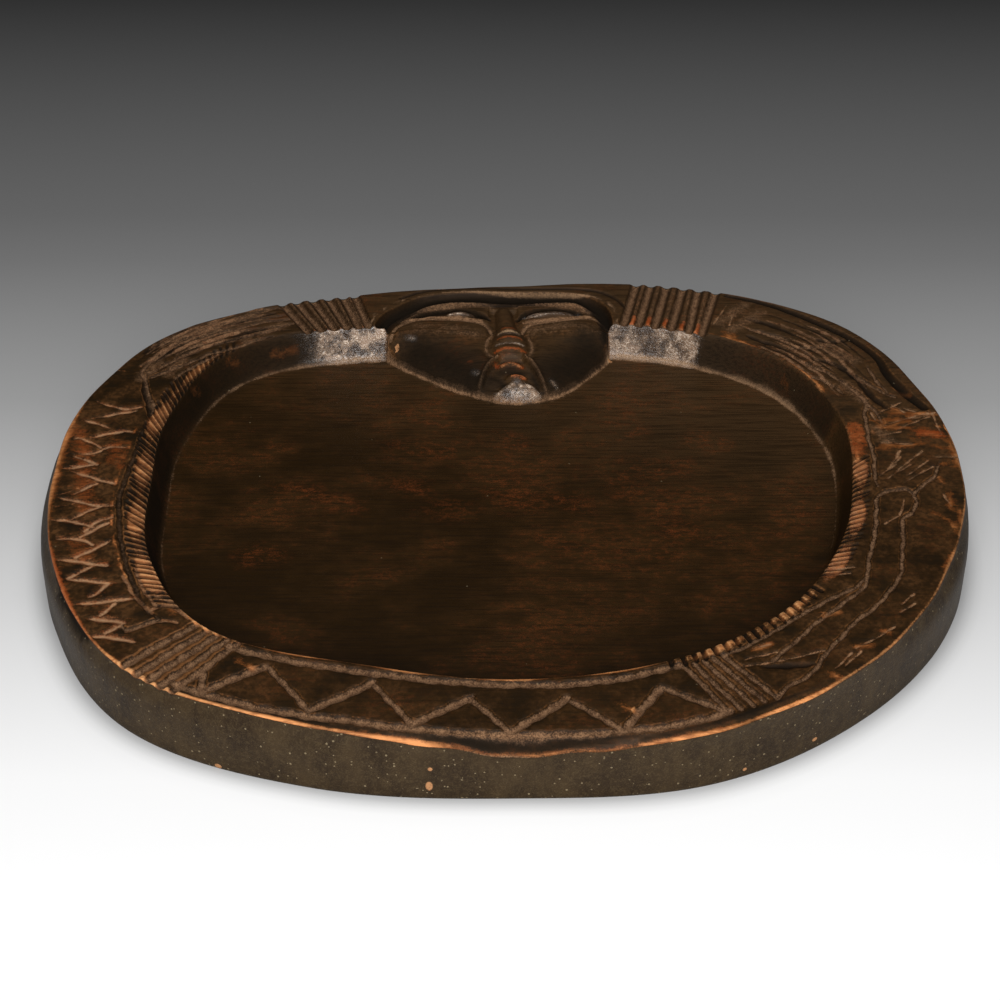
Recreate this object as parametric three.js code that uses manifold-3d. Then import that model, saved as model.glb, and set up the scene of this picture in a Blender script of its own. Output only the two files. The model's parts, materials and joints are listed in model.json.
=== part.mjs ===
// A carved wooden divination board, cut from one block: a wide rounded oval with a smooth sunk
// field, a raised border full of carving, and a stylised mask at the far side that starts on the
// border and runs down into the field.
// Millimetres, +Z up. The origin is the middle of the underside. The mask is towards +Y.

import * as THREE from 'three';
import { mergeVertices } from 'three/addons/utils/BufferGeometryUtils.js';
import Module from 'manifold-3d';

const wasm = await Module();
wasm.setup();

// Overall sizes. The length and the depth are the rim's: the wall stands out past it in places.
const rimLength = 424;
const rimDepth = 350;
const boardHeight = 34;
const floorThickness = 16;
const borderWidth = 45;

// Edges and walls
const footTrim = 0.8;
const edgeWear = 2.4;
const recessLean = 4.0;
const floorCorner = 2.6;
const rimWear = 0.9;
const frontWearDepth = 9.5;
const frontWearReach = 4.0;
const frontWearMiddle = 271;
const frontWearSpread = 13;

// The mask
const maskWidth = 113;
const maskReach = 43;
const maskRise = 27;
const maskOffset = -5.5;
const maskSink = 0.4;
const cheekSink = 2.4;
const archWidth = 6.5;
const archGroove = 3.0;
const archGrooveDepth = 1.7;
const moatDepth = 5.0;
const noseHeight = 6.5;
const noseRound = 0.8;
const noseRoot = 11;
const lidWidth = 2.6;
const lidDepth = 4;

// The carving tools: width and depth of each cut
const reedCount = 5;
const reedPitch = 8.2;
const reedDepth = 3.4;
const bandCount = 5;
const bandDepth = 2.2;
const zigzagWidth = 4.0;
const zigzagDepth = 2.2;
const runnerWidth = 4.6;
const runnerDepth = 2.4;
const ribbonWidth = 3.2;
const ribbonDepth = 1.8;
const leafWidth = 5.4;
const leafDepth = 2.7;
const knifeWidth = 2.4;
const knifeDepth = 1.2;
const cableWidth = 7.6;
const cablePitch = 4.4;
const cableDepth = 1.6;
const toothPitch = 6.4;
const toothDepth = 2.6;

// How fine the facets are
const outlineSteps = 108;
const cutStep = 10;

// How far the hand-cut outline stands from an ellipse, every 22.5 degrees from the right-hand end
const outlineSwell = [
  0.987, 1.03, 1.097, 1.05, 0.975, 0.998, 1.08, 1.046,
  1.003, 1.02, 1.067, 1.02, 0.997, 1.03, 1.01, 0.977,
];

// How the border's width changes round the board, at the same places
const borderSwell = [
  1.16, 1.06, 1.06, 0.94, 0.91, 0.73, 0.77, 0.97,
  1.03, 0.93, 0.93, 0.94, 0.84, 1.02, 1.07, 1.1,
];

// How far the wall stands out past the rim, in millimetres, at the same places
const wallFlare = [
  1.5, 0.6, 0.2, 0, 0, 0, 0.2, 1.4,
  3.8, 3.7, 2.6, 2.4, -1, -1.6, -0.3, 4.6,
];

// A smooth closed curve through evenly spaced values
function periodic(values, degrees) {
  const count = values.length;
  const place = (((degrees % 360) + 360) % 360) / 360 * count;
  const i = Math.floor(place) % count;
  const f = place - Math.floor(place);
  const [a, b, c, d] = [-1, 0, 1, 2].map((k) => values[(i + k + count) % count]);
  const cubic = (-a + 3 * b - 3 * c + d) * f ** 3;
  const square = (2 * a - 5 * b + 4 * c - d) * f ** 2;
  return 0.5 * (2 * b + (c - a) * f + square + cubic);
}

function roughOutline(degrees) {
  const swell = periodic(outlineSwell, degrees);
  const angle = THREE.MathUtils.degToRad(degrees);
  return new THREE.Vector2(swell * Math.cos(angle), swell * Math.sin(angle));
}

// The rough outline's own box, so that the finished one is exactly as long and as deep as named
const roughBox = new THREE.Box2().setFromPoints(
  Array.from({ length: 720 }, (_, i) => roughOutline(i / 2)),
);
const roughSize = roughBox.getSize(new THREE.Vector2());
const roughCentre = roughBox.getCenter(new THREE.Vector2());

function outlinePoint(degrees) {
  const p = roughOutline(degrees).sub(roughCentre).divide(roughSize);
  return p.multiply(new THREE.Vector2(rimLength, rimDepth));
}

// Border coordinates: an angle round the board, and a share of the border's width that is 0 at
// the recess and 1 at the outer edge
function borderPoint(degrees, share, z = boardHeight) {
  const p = outlinePoint(degrees);
  const width = borderWidth * periodic(borderSwell, degrees);
  p.setLength(p.length() - (1 - share) * width);
  return new THREE.Vector3(p.x, p.y, z);
}

// The same, with a distance from the outer edge or from the recess's edge in place of the share
function fromOuterEdge(degrees, inset, z) {
  const p = outlinePoint(degrees);
  p.setLength(p.length() - inset);
  return new THREE.Vector3(p.x, p.y, z);
}

function fromRecessEdge(degrees, outset, z) {
  const p = borderPoint(degrees, 0, z);
  const flat = new THREE.Vector2(p.x, p.y);
  flat.setLength(flat.length() + outset);
  return new THREE.Vector3(flat.x, flat.y, z);
}

// Mask coordinates: across from -1 to 1, and along from -1 at the chin, through 0 at the
// recess's edge, to 1 at the top of the brow
function maskPoint(across, along, z) {
  const rim = borderPoint(90, 0);
  const reach = along < 0 ? maskReach : maskRise;
  return new THREE.Vector3(maskOffset + across * maskWidth / 2, rim.y + along * reach, z);
}

// Solids
function solid(positions, index) {
  const geometry = new THREE.BufferGeometry();
  geometry.setAttribute('position', new THREE.Float32BufferAttribute(positions, 3));
  geometry.setIndex(index);
  const merged = mergeVertices(geometry, 1e-4);
  return new wasm.Manifold(new wasm.Mesh({
    numProp: 3,
    vertProperties: Float32Array.from(merged.attributes.position.array),
    triVerts: Uint32Array.from(merged.index.array),
  }));
}

function signedVolume(positions, index) {
  const corner = (i) => new THREE.Vector3().fromArray(positions, 3 * i);
  let volume = 0;
  for (let i = 0; i < index.length; i += 3) {
    const [a, b, c] = [0, 1, 2].map((k) => corner(index[i + k]));
    volume += a.dot(b.cross(c)) / 6;
  }
  return volume;
}

// A closed skin over rings of equal count, with a fan over the first and the last
function loft(rings) {
  const count = rings[0].length;
  const points = rings.flat();
  const index = [];
  for (let k = 0; k < rings.length - 1; k += 1) {
    for (let j = 0; j < count; j += 1) {
      const a = k * count + j;
      const b = k * count + (j + 1) % count;
      index.push(a, b, b + count, a, b + count, a + count);
    }
  }
  const middle = (ring) => ring.reduce((sum, p) => sum.add(p), new THREE.Vector3()).divideScalar(count);
  points.push(middle(rings[0]), middle(rings.at(-1)));
  const last = (rings.length - 1) * count;
  for (let j = 0; j < count; j += 1) {
    const next = (j + 1) % count;
    index.push(points.length - 2, next, j, points.length - 1, last + j, last + next);
  }
  const positions = points.flatMap((p) => p.toArray());
  if (signedVolume(positions, index) < 0) index.reverse();
  return solid(positions, index);
}

function ring(pointAt, count = outlineSteps) {
  return Array.from({ length: count }, (_, i) => pointAt(i * 360 / count));
}

function solidFrom(geometry) {
  geometry.deleteAttribute('normal');
  geometry.deleteAttribute('uv');
  return solid(Array.from(geometry.attributes.position.array), Array.from(geometry.index.array));
}

function ellipsoid(centre, radii, turn = 0) {
  const geometry = new THREE.SphereGeometry(1, 18, 12);
  geometry.scale(...radii).rotateZ(THREE.MathUtils.degToRad(turn));
  return solidFrom(geometry.translate(centre.x, centre.y, centre.z));
}

// Cross-sections of the cutting tools: sideways from -0.5 to 0.5 of the width, downwards from
// 0 to 1 of the depth
const roundTool = [[-0.5, 0], [-0.33, 0.75], [0, 1], [0.33, 0.75], [0.5, 0]];
const veeTool = [[-0.5, 0], [0, 1], [0.5, 0]];
const toolFlare = 0.56;
const toolLift = 2;

// One cut of a tool along a path that lies on the surface. Its depth fades towards an end that
// stops on the wood, and stays full at an end that runs out over an edge.
function gouge(path, tool, width, depth, [firstFade, lastFade]) {
  const depths = path.map(() => depth);
  depths[0] *= firstFade;
  depths[path.length - 1] *= lastFade;
  return loft(path.map((p, i) => {
    const side = sideways(path, i);
    const at = (across, down) => p.clone().addScaledVector(side, across * width).setZ(p.z - down);
    const edge = tool.map(([across, down]) => at(across, down * depths[i]));
    return [at(-toolFlare, -toolLift), ...edge, at(toolFlare, -toolLift)];
  }));
}

// The level direction square to a path, at one of its points
function sideways(path, i) {
  const ahead = path[Math.min(i + 1, path.length - 1)];
  const behind = path[Math.max(i - 1, 0)];
  const t = new THREE.Vector3().subVectors(ahead, behind).setZ(0).normalize();
  return new THREE.Vector3(-t.y, t.x, 0);
}

function along(points, step = cutStep) {
  const curve = new THREE.CatmullRomCurve3(points, false, 'centripetal');
  return curve.getSpacedPoints(Math.max(2, Math.round(curve.getLength() / step)));
}

function borderPath(places, step = cutStep) {
  return along(places.map(([degrees, share]) => borderPoint(degrees, share)), step);
}

function borderLine(from, to) {
  return [borderPoint(...from), borderPoint(...to)];
}

// How far the front edge is worn down: 1 at the middle of the worn stretch, and 0 well away from it
function frontWear(degrees) {
  return Math.exp(-(((degrees - frontWearMiddle) / frontWearSpread) ** 2));
}

// The block: a wall that stands out past the worn rim in places. Each level has its inset and
// height, the share of the wall's flare, and how far both follow the worn front edge.
function block() {
  const levels = [
    [footTrim, 0, 1, 0, 0],
    [0, footTrim, 1, 0, 0],
    [0, boardHeight * 0.35, 1, 0, 0],
    [0, boardHeight * 0.66, 0.85, 0, 0.4],
    [edgeWear * 0.12, boardHeight - edgeWear, 0.15, 0, 1],
    [edgeWear * 0.42, boardHeight - edgeWear * 0.35, 0, 0.25, 0.9],
    [edgeWear, boardHeight, 0, 1, 0],
  ];
  return loft(levels.map(([inset, z, flare, reach, drop]) => ring((degrees) => {
    const worn = frontWear(degrees);
    const out = flare * periodic(wallFlare, degrees);
    return fromOuterEdge(degrees, inset - out + reach * worn * frontWearReach, z - drop * worn * frontWearDepth);
  })));
}

// The sunk field, as the tool that cuts it
function recess() {
  const levels = [
    [-recessLean - floorCorner, floorThickness],
    [-recessLean, floorThickness + floorCorner * 0.6],
    [-rimWear * 0.3, boardHeight - rimWear],
    [rimWear, boardHeight],
    [rimWear * 2, boardHeight + toolLift],
  ];
  return loft(levels.map(([outset, z]) => ring((degrees) => fromRecessEdge(degrees, outset, z))));
}

// How much of its depth a cut keeps at its two ends
const runsOut = [1, 1];
const shallow = [0.3, 0.3];
const blunt = [0.55, 0.55];

// Lengthwise runs beside the border's two edges, as the angle and the share at each bend
const innerRun = [[231, 0.12], [245, 0.13], [257, 0.11], [268, 0.1], [280, 0.13], [293, 0.1]];
const outerRun = [
  [231, 0.9], [240, 0.88], [250, 0.85], [258, 0.86], [267, 0.92], [276, 0.92], [284, 0.87], [293.5, 0.83],
];
const leftRun = [
  [151, 0.6], [154, 0.48], [158, 0.27], [163, 0.19], [170, 0.2], [178, 0.24], [186, 0.26], [196, 0.24],
  [206, 0.25], [214, 0.28], [219, 0.24],
];
const backLeftRim = [[124, 0.88], [130, 0.9], [138, 0.86], [146, 0.86]];
const backRightRim = [[20, 0.87], [26, 0.8], [32, 0.86], [40, 0.85], [48, 0.85], [55, 0.9], [60, 0.94]];
const toothRun = [[301, 0.13], [306, 0.19], [314, 0.21], [320, 0.19], [325, 0.15]];
const rightCableRun = [[330, 0.24], [337, 0.2], [346, 0.18], [356, 0.17], [364, 0.17]];

function runners() {
  const wide = [innerRun, outerRun, leftRun];
  const narrow = [backLeftRim, backRightRim, toothRun, rightCableRun];
  return [
    ...wide.map((run) => gouge(borderPath(run), roundTool, runnerWidth, runnerDepth, shallow)),
    ...narrow.map((run) => gouge(borderPath(run), roundTool, ribbonWidth, runnerDepth, shallow)),
  ];
}

// The front zigzag: outer and inner turns by turns
const zigzagOuter = [[234, 0.86], [246.5, 0.8], [258.5, 0.8], [269.8, 0.86], [282.3, 0.84], [293.6, 0.78]];
const zigzagInner = [[237.2, 0.28], [251.3, 0.26], [264.5, 0.34], [277, 0.36], [289.4, 0.34]];

// Strokes that slant one way are a little narrower than those that slant the other way
const backStroke = 0.8;

function zigzag(outer, inner, width, depth) {
  const turns = outer.flatMap((turn, i) => (i < inner.length ? [turn, inner[i]] : [turn]));
  return turns.slice(1).map((turn, i) => {
    const strokeWidth = i % 2 ? width * backStroke : width;
    return gouge(borderLine(turns[i], turn), roundTool, strokeWidth, depth, blunt);
  });
}

// The knife-cut zigzag on the left: evenly spaced turns
const knifeZigzag = { first: 164, pitch: 4.9, turns: 11, lean: 0.62, outer: 0.86, inner: 0.48 };

function leftZigzag() {
  const { first, pitch, turns, lean } = knifeZigzag;
  const outer = Array.from({ length: turns }, (_, i) => [first + i * pitch, knifeZigzag.outer]);
  const inner = outer.slice(1).map(([degrees]) => [degrees - pitch * lean, knifeZigzag.inner]);
  return zigzag(outer, inner, knifeWidth, knifeDepth);
}

// Bands of side by side cuts across the border, between two angles and two shares
const leftBand = { from: 222, to: 229.8, inner: 0.14, outer: 1.06, slant: 1.2, width: 4.4, fade: [0.5, 1] };
const rightBand = { from: 294.6, to: 300.6, inner: 0.16, outer: 0.82, slant: 0.1, width: 3.3, fade: blunt };

function crossBand({ from, to, inner, outer, slant, width, fade }) {
  return Array.from({ length: bandCount }, (_, i) => {
    const degrees = THREE.MathUtils.lerp(from, to, i / (bandCount - 1));
    const path = borderLine([degrees, inner], [degrees + slant, outer]);
    return gouge(path, roundTool, width, bandDepth, fade);
  });
}

// Reeds: rounded ribs left standing between deep cuts that run out over both edges
const backRightReeds = { middle: 64.6, slant: 3.2 };
const backLeftReeds = { middle: 119, slant: -2.6 };
const reedShares = [-0.12, 1.06];
const reedGap = 0.55;

function reedBand({ middle, slant }) {
  const alongRim = borderPoint(middle, 1).distanceTo(borderPoint(middle + 1, 1));
  const pitch = reedPitch / alongRim;
  return Array.from({ length: reedCount + 1 }, (_, i) => {
    const degrees = middle + (i - reedCount / 2) * pitch;
    const path = borderLine([degrees - slant / 2, reedShares[0]], [degrees + slant / 2, reedShares[1]]);
    return gouge(path, roundTool, reedPitch * reedGap, reedDepth, runsOut);
  });
}

// Cables and teeth: slanting nicks across the lip at the recess's edge. The slant is in
// millimetres along the edge, over the cable's width.
const leftCable = { from: 152, to: 217, slant: -6, pitch: cablePitch, width: cableWidth, depth: cableDepth };
const rightCable = { from: 329, to: 366, slant: 6, pitch: cablePitch, width: cableWidth, depth: cableDepth };
const teeth = { from: 295, to: 324, slant: -3, pitch: toothPitch, width: 5.3, depth: toothDepth };
const nickShare = 0.7;
const nickOverrun = 1.5;

function cable({ from, to, slant, pitch, width, depth }) {
  const nicks = [];
  let degrees = from;
  while (degrees < to) {
    const mmPerDegree = borderPoint(degrees, 0).distanceTo(borderPoint(degrees + 1, 0));
    const inner = fromRecessEdge(degrees, -nickOverrun, boardHeight);
    const outer = fromRecessEdge(degrees + slant / mmPerDegree, width, boardHeight);
    nicks.push(gouge([inner, outer], veeTool, pitch * nickShare, depth, [1, 0.5]));
    degrees += pitch / mmPerDegree;
  }
  return nicks;
}

// Ribbons and leaves on the right and at the two far corners
const ribbons = [
  [[301, 0.84], [304, 0.78], [309, 0.73], [313, 0.63], [320, 0.58], [326, 0.61], [332, 0.65], [339, 0.58],
    [346, 0.5], [352, 0.55], [357, 0.62], [361, 0.74]],
  [[304, 0.37], [309, 0.38], [315, 0.34], [321, 0.33], [328, 0.4], [335, 0.32], [344, 0.25], [352, 0.25],
    [357, 0.35], [358.5, 0.52]],
  [[306, 0.46], [309, 0.52], [312.5, 0.62]],
  [[1, 0.34], [5, 0.5], [9, 0.66]],
  [[2, 0.3], [8, 0.46]],
  [[0.5, 0.62], [6, 0.8]],
  [[14.6, 0.5], [17.8, 0.88]],
  [[0, 0.22], [8, 0.24], [15, 0.24], [21, 0.3], [27, 0.3], [33, 0.24], [40, 0.17]],
  [[20, 0.42], [25, 0.37], [31, 0.36], [37, 0.31]],
  [[34, 0.5], [39, 0.52], [46, 0.48], [53, 0.5]],
  [[44, 0.36], [48, 0.24], [53, 0.22]],
  [[126, 0.38], [131, 0.5], [138, 0.5], [144, 0.56], [149, 0.66]],
  [[128, 0.2], [134, 0.28], [140, 0.37], [146, 0.46], [150, 0.5]],
  [[136, 0.1], [141, 0.2], [147, 0.34], [152, 0.42]],
];
const leaves = [
  [[21, 0.52], [25, 0.45], [30, 0.44], [35, 0.43]],
  [[20, 0.8], [24, 0.74], [29, 0.66]],
  [[302.5, 0.58], [306, 0.6], [309, 0.62]],
  [[137, 0.66], [141, 0.66], [147, 0.66]],
];

function ribbonCuts() {
  return [
    ...ribbons.map((run) => gouge(borderPath(run), roundTool, ribbonWidth, ribbonDepth, shallow)),
    ...leaves.map((run) => gouge(borderPath(run), roundTool, leafWidth, leafDepth, shallow)),
  ];
}

// The mask's outline where it meets the field and the hollow round the brow
const maskOutline = [
  [-1, -0.07], [-0.83, -0.3], [-0.45, -0.67], [-0.08, -0.93], [0.18, -1], [0.43, -0.93], [0.65, -0.74],
  [0.84, -0.44], [1, -0.1], [0.98, 0.33], [0.86, 0.78], [0.45, 1], [-0.08, 1], [-0.7, 0.81], [-0.93, 0.41],
];
const maskSteps = 52;
const maskTop = boardHeight - maskSink;

function maskRing(scale, z, grow = 0) {
  const spine = maskPoint(0.05, 0.1, z);
  const corners = maskOutline.map(([across, alongMask]) => {
    const p = maskPoint(across, alongMask, z);
    const arm = p.sub(spine);
    return arm.setLength(arm.length() * scale + grow).add(spine);
  });
  return new THREE.CatmullRomCurve3(corners, true, 'centripetal').getPoints(maskSteps).slice(0, maskSteps);
}

// 0 where the mask stands in the field, 1 where it lies on the border
function onBorder(p) {
  const rim = borderPoint(90, 0).y;
  return THREE.MathUtils.smoothstep(p.y, rim - 0.2 * maskReach, rim + 0.1 * maskRise);
}

// The arch over the brow: a ridge left standing between an outer groove and the hollow
const archLine = [
  [71.5, -0.06], [72.2, 0.2], [73.6, 0.38], [75.6, 0.56], [79, 0.69], [84, 0.75], [90, 0.8], [96, 0.84],
  [101, 0.83], [105, 0.74], [108.6, 0.55], [111, 0.36], [113, 0.15], [114.3, -0.06],
];
const archStep = 7;
const archEndSteps = 3;

// The hollow round the brow, cut off where it opens into the recess
function moat() {
  const levels = [
    [archWidth * 0.35, boardHeight - moatDepth],
    [archWidth * 0.55, boardHeight - moatDepth * 0.5],
    [archWidth * 0.7, boardHeight + toolLift],
  ];
  const hollow = loft(levels.map(([grow, z]) => maskRing(1, z, grow)));
  const low = maskPoint(0, 0, 0).y - recessLean - floorCorner;
  const overField = new THREE.BoxGeometry(rimLength, rimDepth, boardHeight * 2);
  return hollow.subtract(solidFrom(overField.translate(0, low - rimDepth / 2, boardHeight)));
}

// The thin groove outside the ridge. It stops short of the reeds at both ends.
function archGrooveCut() {
  const ridge = borderPath(archLine, archStep).slice(archEndSteps, -archEndSteps);
  const path = ridge.map((p, i) => p.clone().addScaledVector(sideways(ridge, i), -archWidth * 0.68));
  return gouge(path, roundTool, archGroove, archGrooveDepth, shallow);
}

// The mask itself: a dome that holds the cheeks, with the lids and brows, the nose and the mouth
// on it. In the field it swells up from the floor, and on the border it stands in its hollow with
// a steep edge.
function maskDome() {
  const top = maskTop - cheekSink;
  const hollow = boardHeight - moatDepth - 1;
  const scales = [1, 0.985, 0.955, 0.91, 0.84, 0.74, 0.6, 0.42, 0.2];
  const rings = scales.map((scale) => maskRing(scale, 0).map((p) => {
    const swelling = floorThickness + (top - floorThickness) * Math.sqrt(1 - scale ** 3);
    const steep = hollow + (top - hollow) * Math.sqrt(1 - scale ** 8);
    return p.setZ(THREE.MathUtils.lerp(swelling, steep, onBorder(p)));
  }));
  return loft([maskRing(1, floorThickness - 1), ...rings]);
}

// Rounded swellings on the mask. Each has its middle across and along the mask, how far its top
// stays below the mask's top, its half sizes as shares of the mask's width, its half height, and
// its turn in degrees.
const browsAndLowerLids = [
  [-0.42, 0.86, 0.3, 0.22, 0.045, 5, 3],
  [0.49, 0.88, 0.3, 0.2, 0.045, 5, -3],
  [-0.5, 0.46, 1.0, 0.19, 0.03, 3, 2],
  [0.52, 0.44, 1.0, 0.18, 0.03, 3, -6],
];
const eyeballs = [
  [-0.34, 0.62, 0.8, 0.11, 0.036, 4, -3],
  [0.49, 0.63, 0.8, 0.13, 0.036, 4, 3],
];
const nostrilsLipsAndChin = [
  [-0.05, -0.39, 3.4, 0.036, 0.036, 5, 0],
  [0.27, -0.39, 3.4, 0.036, 0.036, 5, 0],
  [0.11, -0.6, 4.8, 0.06, 0.026, 4, 0],
  [0.15, -0.78, 6.6, 0.055, 0.024, 4, 0],
  [0.18, -0.92, 8.4, 0.1, 0.036, 6, 0],
];

function bulge([across, alongMask, drop, halfAcross, halfAlong, halfHeight, turn]) {
  const centre = maskPoint(across, alongMask, maskTop - drop - halfHeight);
  return ellipsoid(centre, [halfAcross * maskWidth, halfAlong * maskWidth, halfHeight], turn);
}

// The upper lids, cut as curved slits over the eyeballs
const lidLines = [
  [[-0.76, 0.59], [-0.6, 0.75], [-0.44, 0.8], [-0.26, 0.72], [-0.1, 0.51]],
  [[0.2, 0.52], [0.31, 0.68], [0.45, 0.78], [0.6, 0.79], [0.77, 0.65]],
];
const lidStep = 5;
const lidDrop = 0.6;

function lidCuts() {
  return lidLines.map((places) => {
    const line = places.map(([across, alongMask]) => maskPoint(across, alongMask, maskTop - lidDrop));
    return gouge(along(line, lidStep), roundTool, lidWidth, lidDepth, shallow);
  });
}

// The nose, as sections from the brow down to the tip: its middle across the mask, its place
// along it, its half width, and how far its top stays below the mask's top
const noseSections = [
  [0.05, 0.86, 3.4, 1.4], [0.06, 0.55, 4.4, 0.7], [0.08, 0.2, 5.8, 0.3], [0.11, -0.02, 8, 0],
  [0.12, -0.3, 9.8, 0], [0.12, -0.42, 9.2, 0.8],
];

function nose() {
  const base = maskTop - noseRoot;
  return loft(noseSections.map(([across, alongMask, half, drop]) => {
    const middle = maskPoint(across, alongMask, base);
    const top = maskTop - drop;
    const shoulder = top - noseRound;
    const low = top - noseHeight;
    const at = (x, z) => new THREE.Vector3(middle.x + x, middle.y, z);
    return [
      at(-half, base), at(-half, low), at(-half / 2, shoulder), at(0, top), at(half / 2, shoulder),
      at(half, low), at(half, base),
    ];
  }));
}

// The hollow that the mouth sits in: a tent that widens from the nose down to the chin. Each
// section has its place along the mask, its half width, and its depth below the mask's top.
const mouthAcross = 0.12;
const mouthSections = [[-0.44, 4.5, 6], [-0.6, 8, 8.4], [-0.78, 11, 10], [-1, 13.5, 14]];

function mouthHollow() {
  return loft(mouthSections.map(([alongMask, half, deep]) => {
    const middle = maskPoint(mouthAcross, alongMask, maskTop - deep);
    const at = (x, up) => new THREE.Vector3(middle.x + x, middle.y, middle.z + up);
    return [
      at(-half * 1.5, deep + toolLift), at(-half, 1), at(-half * 0.6, 0), at(half * 0.6, 0),
      at(half, 1), at(half * 1.5, deep + toolLift),
    ];
  }));
}

// The folds that run from the nose down beside the mouth
const foldLines = [
  [[-0.07, -0.42], [-0.17, -0.6], [-0.24, -0.82]],
  [[0.29, -0.42], [0.41, -0.6], [0.49, -0.82]],
];
const foldDrops = [2.4, 6.4];
const foldRadius = 1.8;
const foldSides = 6;
const foldSteps = 6;

function fold(places) {
  const curve = new THREE.CatmullRomCurve3(places.map(([across, alongMask], i) => (
    maskPoint(across, alongMask, maskTop - THREE.MathUtils.lerp(...foldDrops, i / (places.length - 1)))
  )));
  const path = curve.getSpacedPoints(foldSteps);
  return loft(path.map((p, i) => Array.from({ length: foldSides }, (_, k) => {
    const angle = 2 * Math.PI * k / foldSides;
    const corner = p.clone().addScaledVector(sideways(path, i), foldRadius * Math.cos(angle));
    return corner.setZ(p.z + 2 * foldRadius * (Math.sin(angle) - 1));
  })));
}

const join = (body, pieces) => pieces.reduce((sum, piece) => sum.add(piece), body);
const cut = (body, tools) => tools.reduce((rest, tool) => rest.subtract(tool), body);

function withMask(board) {
  const head = join(board, [maskDome(), ...browsAndLowerLids.map(bulge)]);
  const hollowed = cut(head, [...lidCuts(), mouthHollow()]);
  return join(hollowed, [
    ...eyeballs.map(bulge), nose(), ...nostrilsLipsAndChin.map(bulge), ...foldLines.map(fold),
  ]);
}

function withBorderCarving(board) {
  return cut(board, [
    archGrooveCut(), ...runners(), ...zigzag(zigzagOuter, zigzagInner, zigzagWidth, zigzagDepth),
    ...leftZigzag(), ...[leftBand, rightBand].flatMap(crossBand),
    ...[backRightReeds, backLeftReeds].flatMap(reedBand), ...[leftCable, rightCable, teeth].flatMap(cable),
    ...ribbonCuts(),
  ]);
}

// The origin is the middle of the finished board's box, which the flared wall moves a little off
// the rim's middle
function centred(board) {
  const { min, max } = board.boundingBox();
  return board.translate([-(min[0] + max[0]) / 2, -(min[1] + max[1]) / 2, 0]);
}

function carvedBoard() {
  const blank = cut(block(), [recess(), moat()]);
  return centred(withBorderCarving(withMask(blank)));
}

function meshOf(manifold, name, material) {
  const { vertProperties, triVerts } = manifold.getMesh();
  const geometry = new THREE.BufferGeometry();
  geometry.setAttribute('position', new THREE.BufferAttribute(vertProperties, 3));
  geometry.setIndex(new THREE.BufferAttribute(triVerts, 1));
  geometry.computeVertexNormals();
  const mesh = new THREE.Mesh(geometry, material);
  mesh.name = name;
  return mesh;
}

const agedWood = new THREE.MeshStandardMaterial({ color: 0x3a291b, roughness: 0.55, metalness: 0 });

const divinationBoard = new THREE.Group();
divinationBoard.name = 'divination_board';
divinationBoard.add(meshOf(carvedBoard(), 'carved_board', agedWood));

export default divinationBoard;
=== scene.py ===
"""A carved wooden divination board, dressed for its photograph.

The board is one piece of wood, so it is one closed mesh. A plain board is built as rings round
its middle. One node tree then carves it: every gouge, nick and knife line is a stroke along a
path, and strokes of the same kind also lay the dust, the bare wood, the polish with its painted
sheen, and painted shade and light.
Lengths are in millimetres until the mesh is written, which is in metres.
"""

import json
import math

import bpy
import numpy as np
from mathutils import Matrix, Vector

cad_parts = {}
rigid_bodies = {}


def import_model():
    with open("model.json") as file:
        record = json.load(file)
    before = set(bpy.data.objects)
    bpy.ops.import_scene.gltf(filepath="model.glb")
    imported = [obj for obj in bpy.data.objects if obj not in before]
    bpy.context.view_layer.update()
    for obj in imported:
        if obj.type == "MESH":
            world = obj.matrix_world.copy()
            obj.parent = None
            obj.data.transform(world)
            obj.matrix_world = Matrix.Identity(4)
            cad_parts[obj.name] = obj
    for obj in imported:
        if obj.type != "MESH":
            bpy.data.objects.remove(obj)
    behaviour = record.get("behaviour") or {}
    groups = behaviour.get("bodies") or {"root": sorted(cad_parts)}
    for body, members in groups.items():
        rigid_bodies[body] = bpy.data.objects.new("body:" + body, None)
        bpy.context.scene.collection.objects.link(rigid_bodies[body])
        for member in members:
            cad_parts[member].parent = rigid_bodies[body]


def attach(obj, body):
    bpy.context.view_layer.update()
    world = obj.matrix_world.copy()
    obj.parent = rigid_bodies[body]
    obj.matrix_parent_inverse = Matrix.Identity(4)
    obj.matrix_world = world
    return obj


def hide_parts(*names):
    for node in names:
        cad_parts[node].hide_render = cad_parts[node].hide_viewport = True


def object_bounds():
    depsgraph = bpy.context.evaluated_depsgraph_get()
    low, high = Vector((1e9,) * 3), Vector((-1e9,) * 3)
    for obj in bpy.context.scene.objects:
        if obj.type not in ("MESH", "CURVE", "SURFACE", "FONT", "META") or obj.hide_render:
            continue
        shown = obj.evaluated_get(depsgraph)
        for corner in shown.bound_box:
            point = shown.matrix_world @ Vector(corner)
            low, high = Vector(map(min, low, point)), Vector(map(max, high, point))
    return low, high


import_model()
cad_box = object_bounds()

# Overall sizes, as the solid has them. The length and the depth are the rim's: the wall stands
# out past it in places.
RIM_LENGTH = 424.0
RIM_DEPTH = 350.0
BOARD_HEIGHT = 34.0
FLOOR = 16.0
BORDER_WIDTH = 45.0
MM = 0.001

# How far the hand-cut outline stands from an ellipse, and how the border's width changes, every
# 22.5 degrees from the right-hand end
OUTLINE_SWELL = [
    0.987, 1.03, 1.097, 1.05, 0.975, 0.998, 1.08, 1.046,
    1.003, 1.02, 1.067, 1.02, 0.997, 1.03, 1.01, 0.977,
]
BORDER_SWELL = [
    1.16, 1.06, 1.06, 0.94, 0.91, 0.73, 0.77, 0.97,
    1.03, 0.93, 0.93, 0.94, 0.84, 1.02, 1.07, 1.1,
]
# How far the wall stands out past the rim, at the same places
WALL_FLARE = [
    1.5, 0.6, 0.2, 0, 0, 0, 0.2, 1.4,
    3.8, 3.7, 2.6, 2.4, -1, -1.6, -0.3, 4.6,
]

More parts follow.
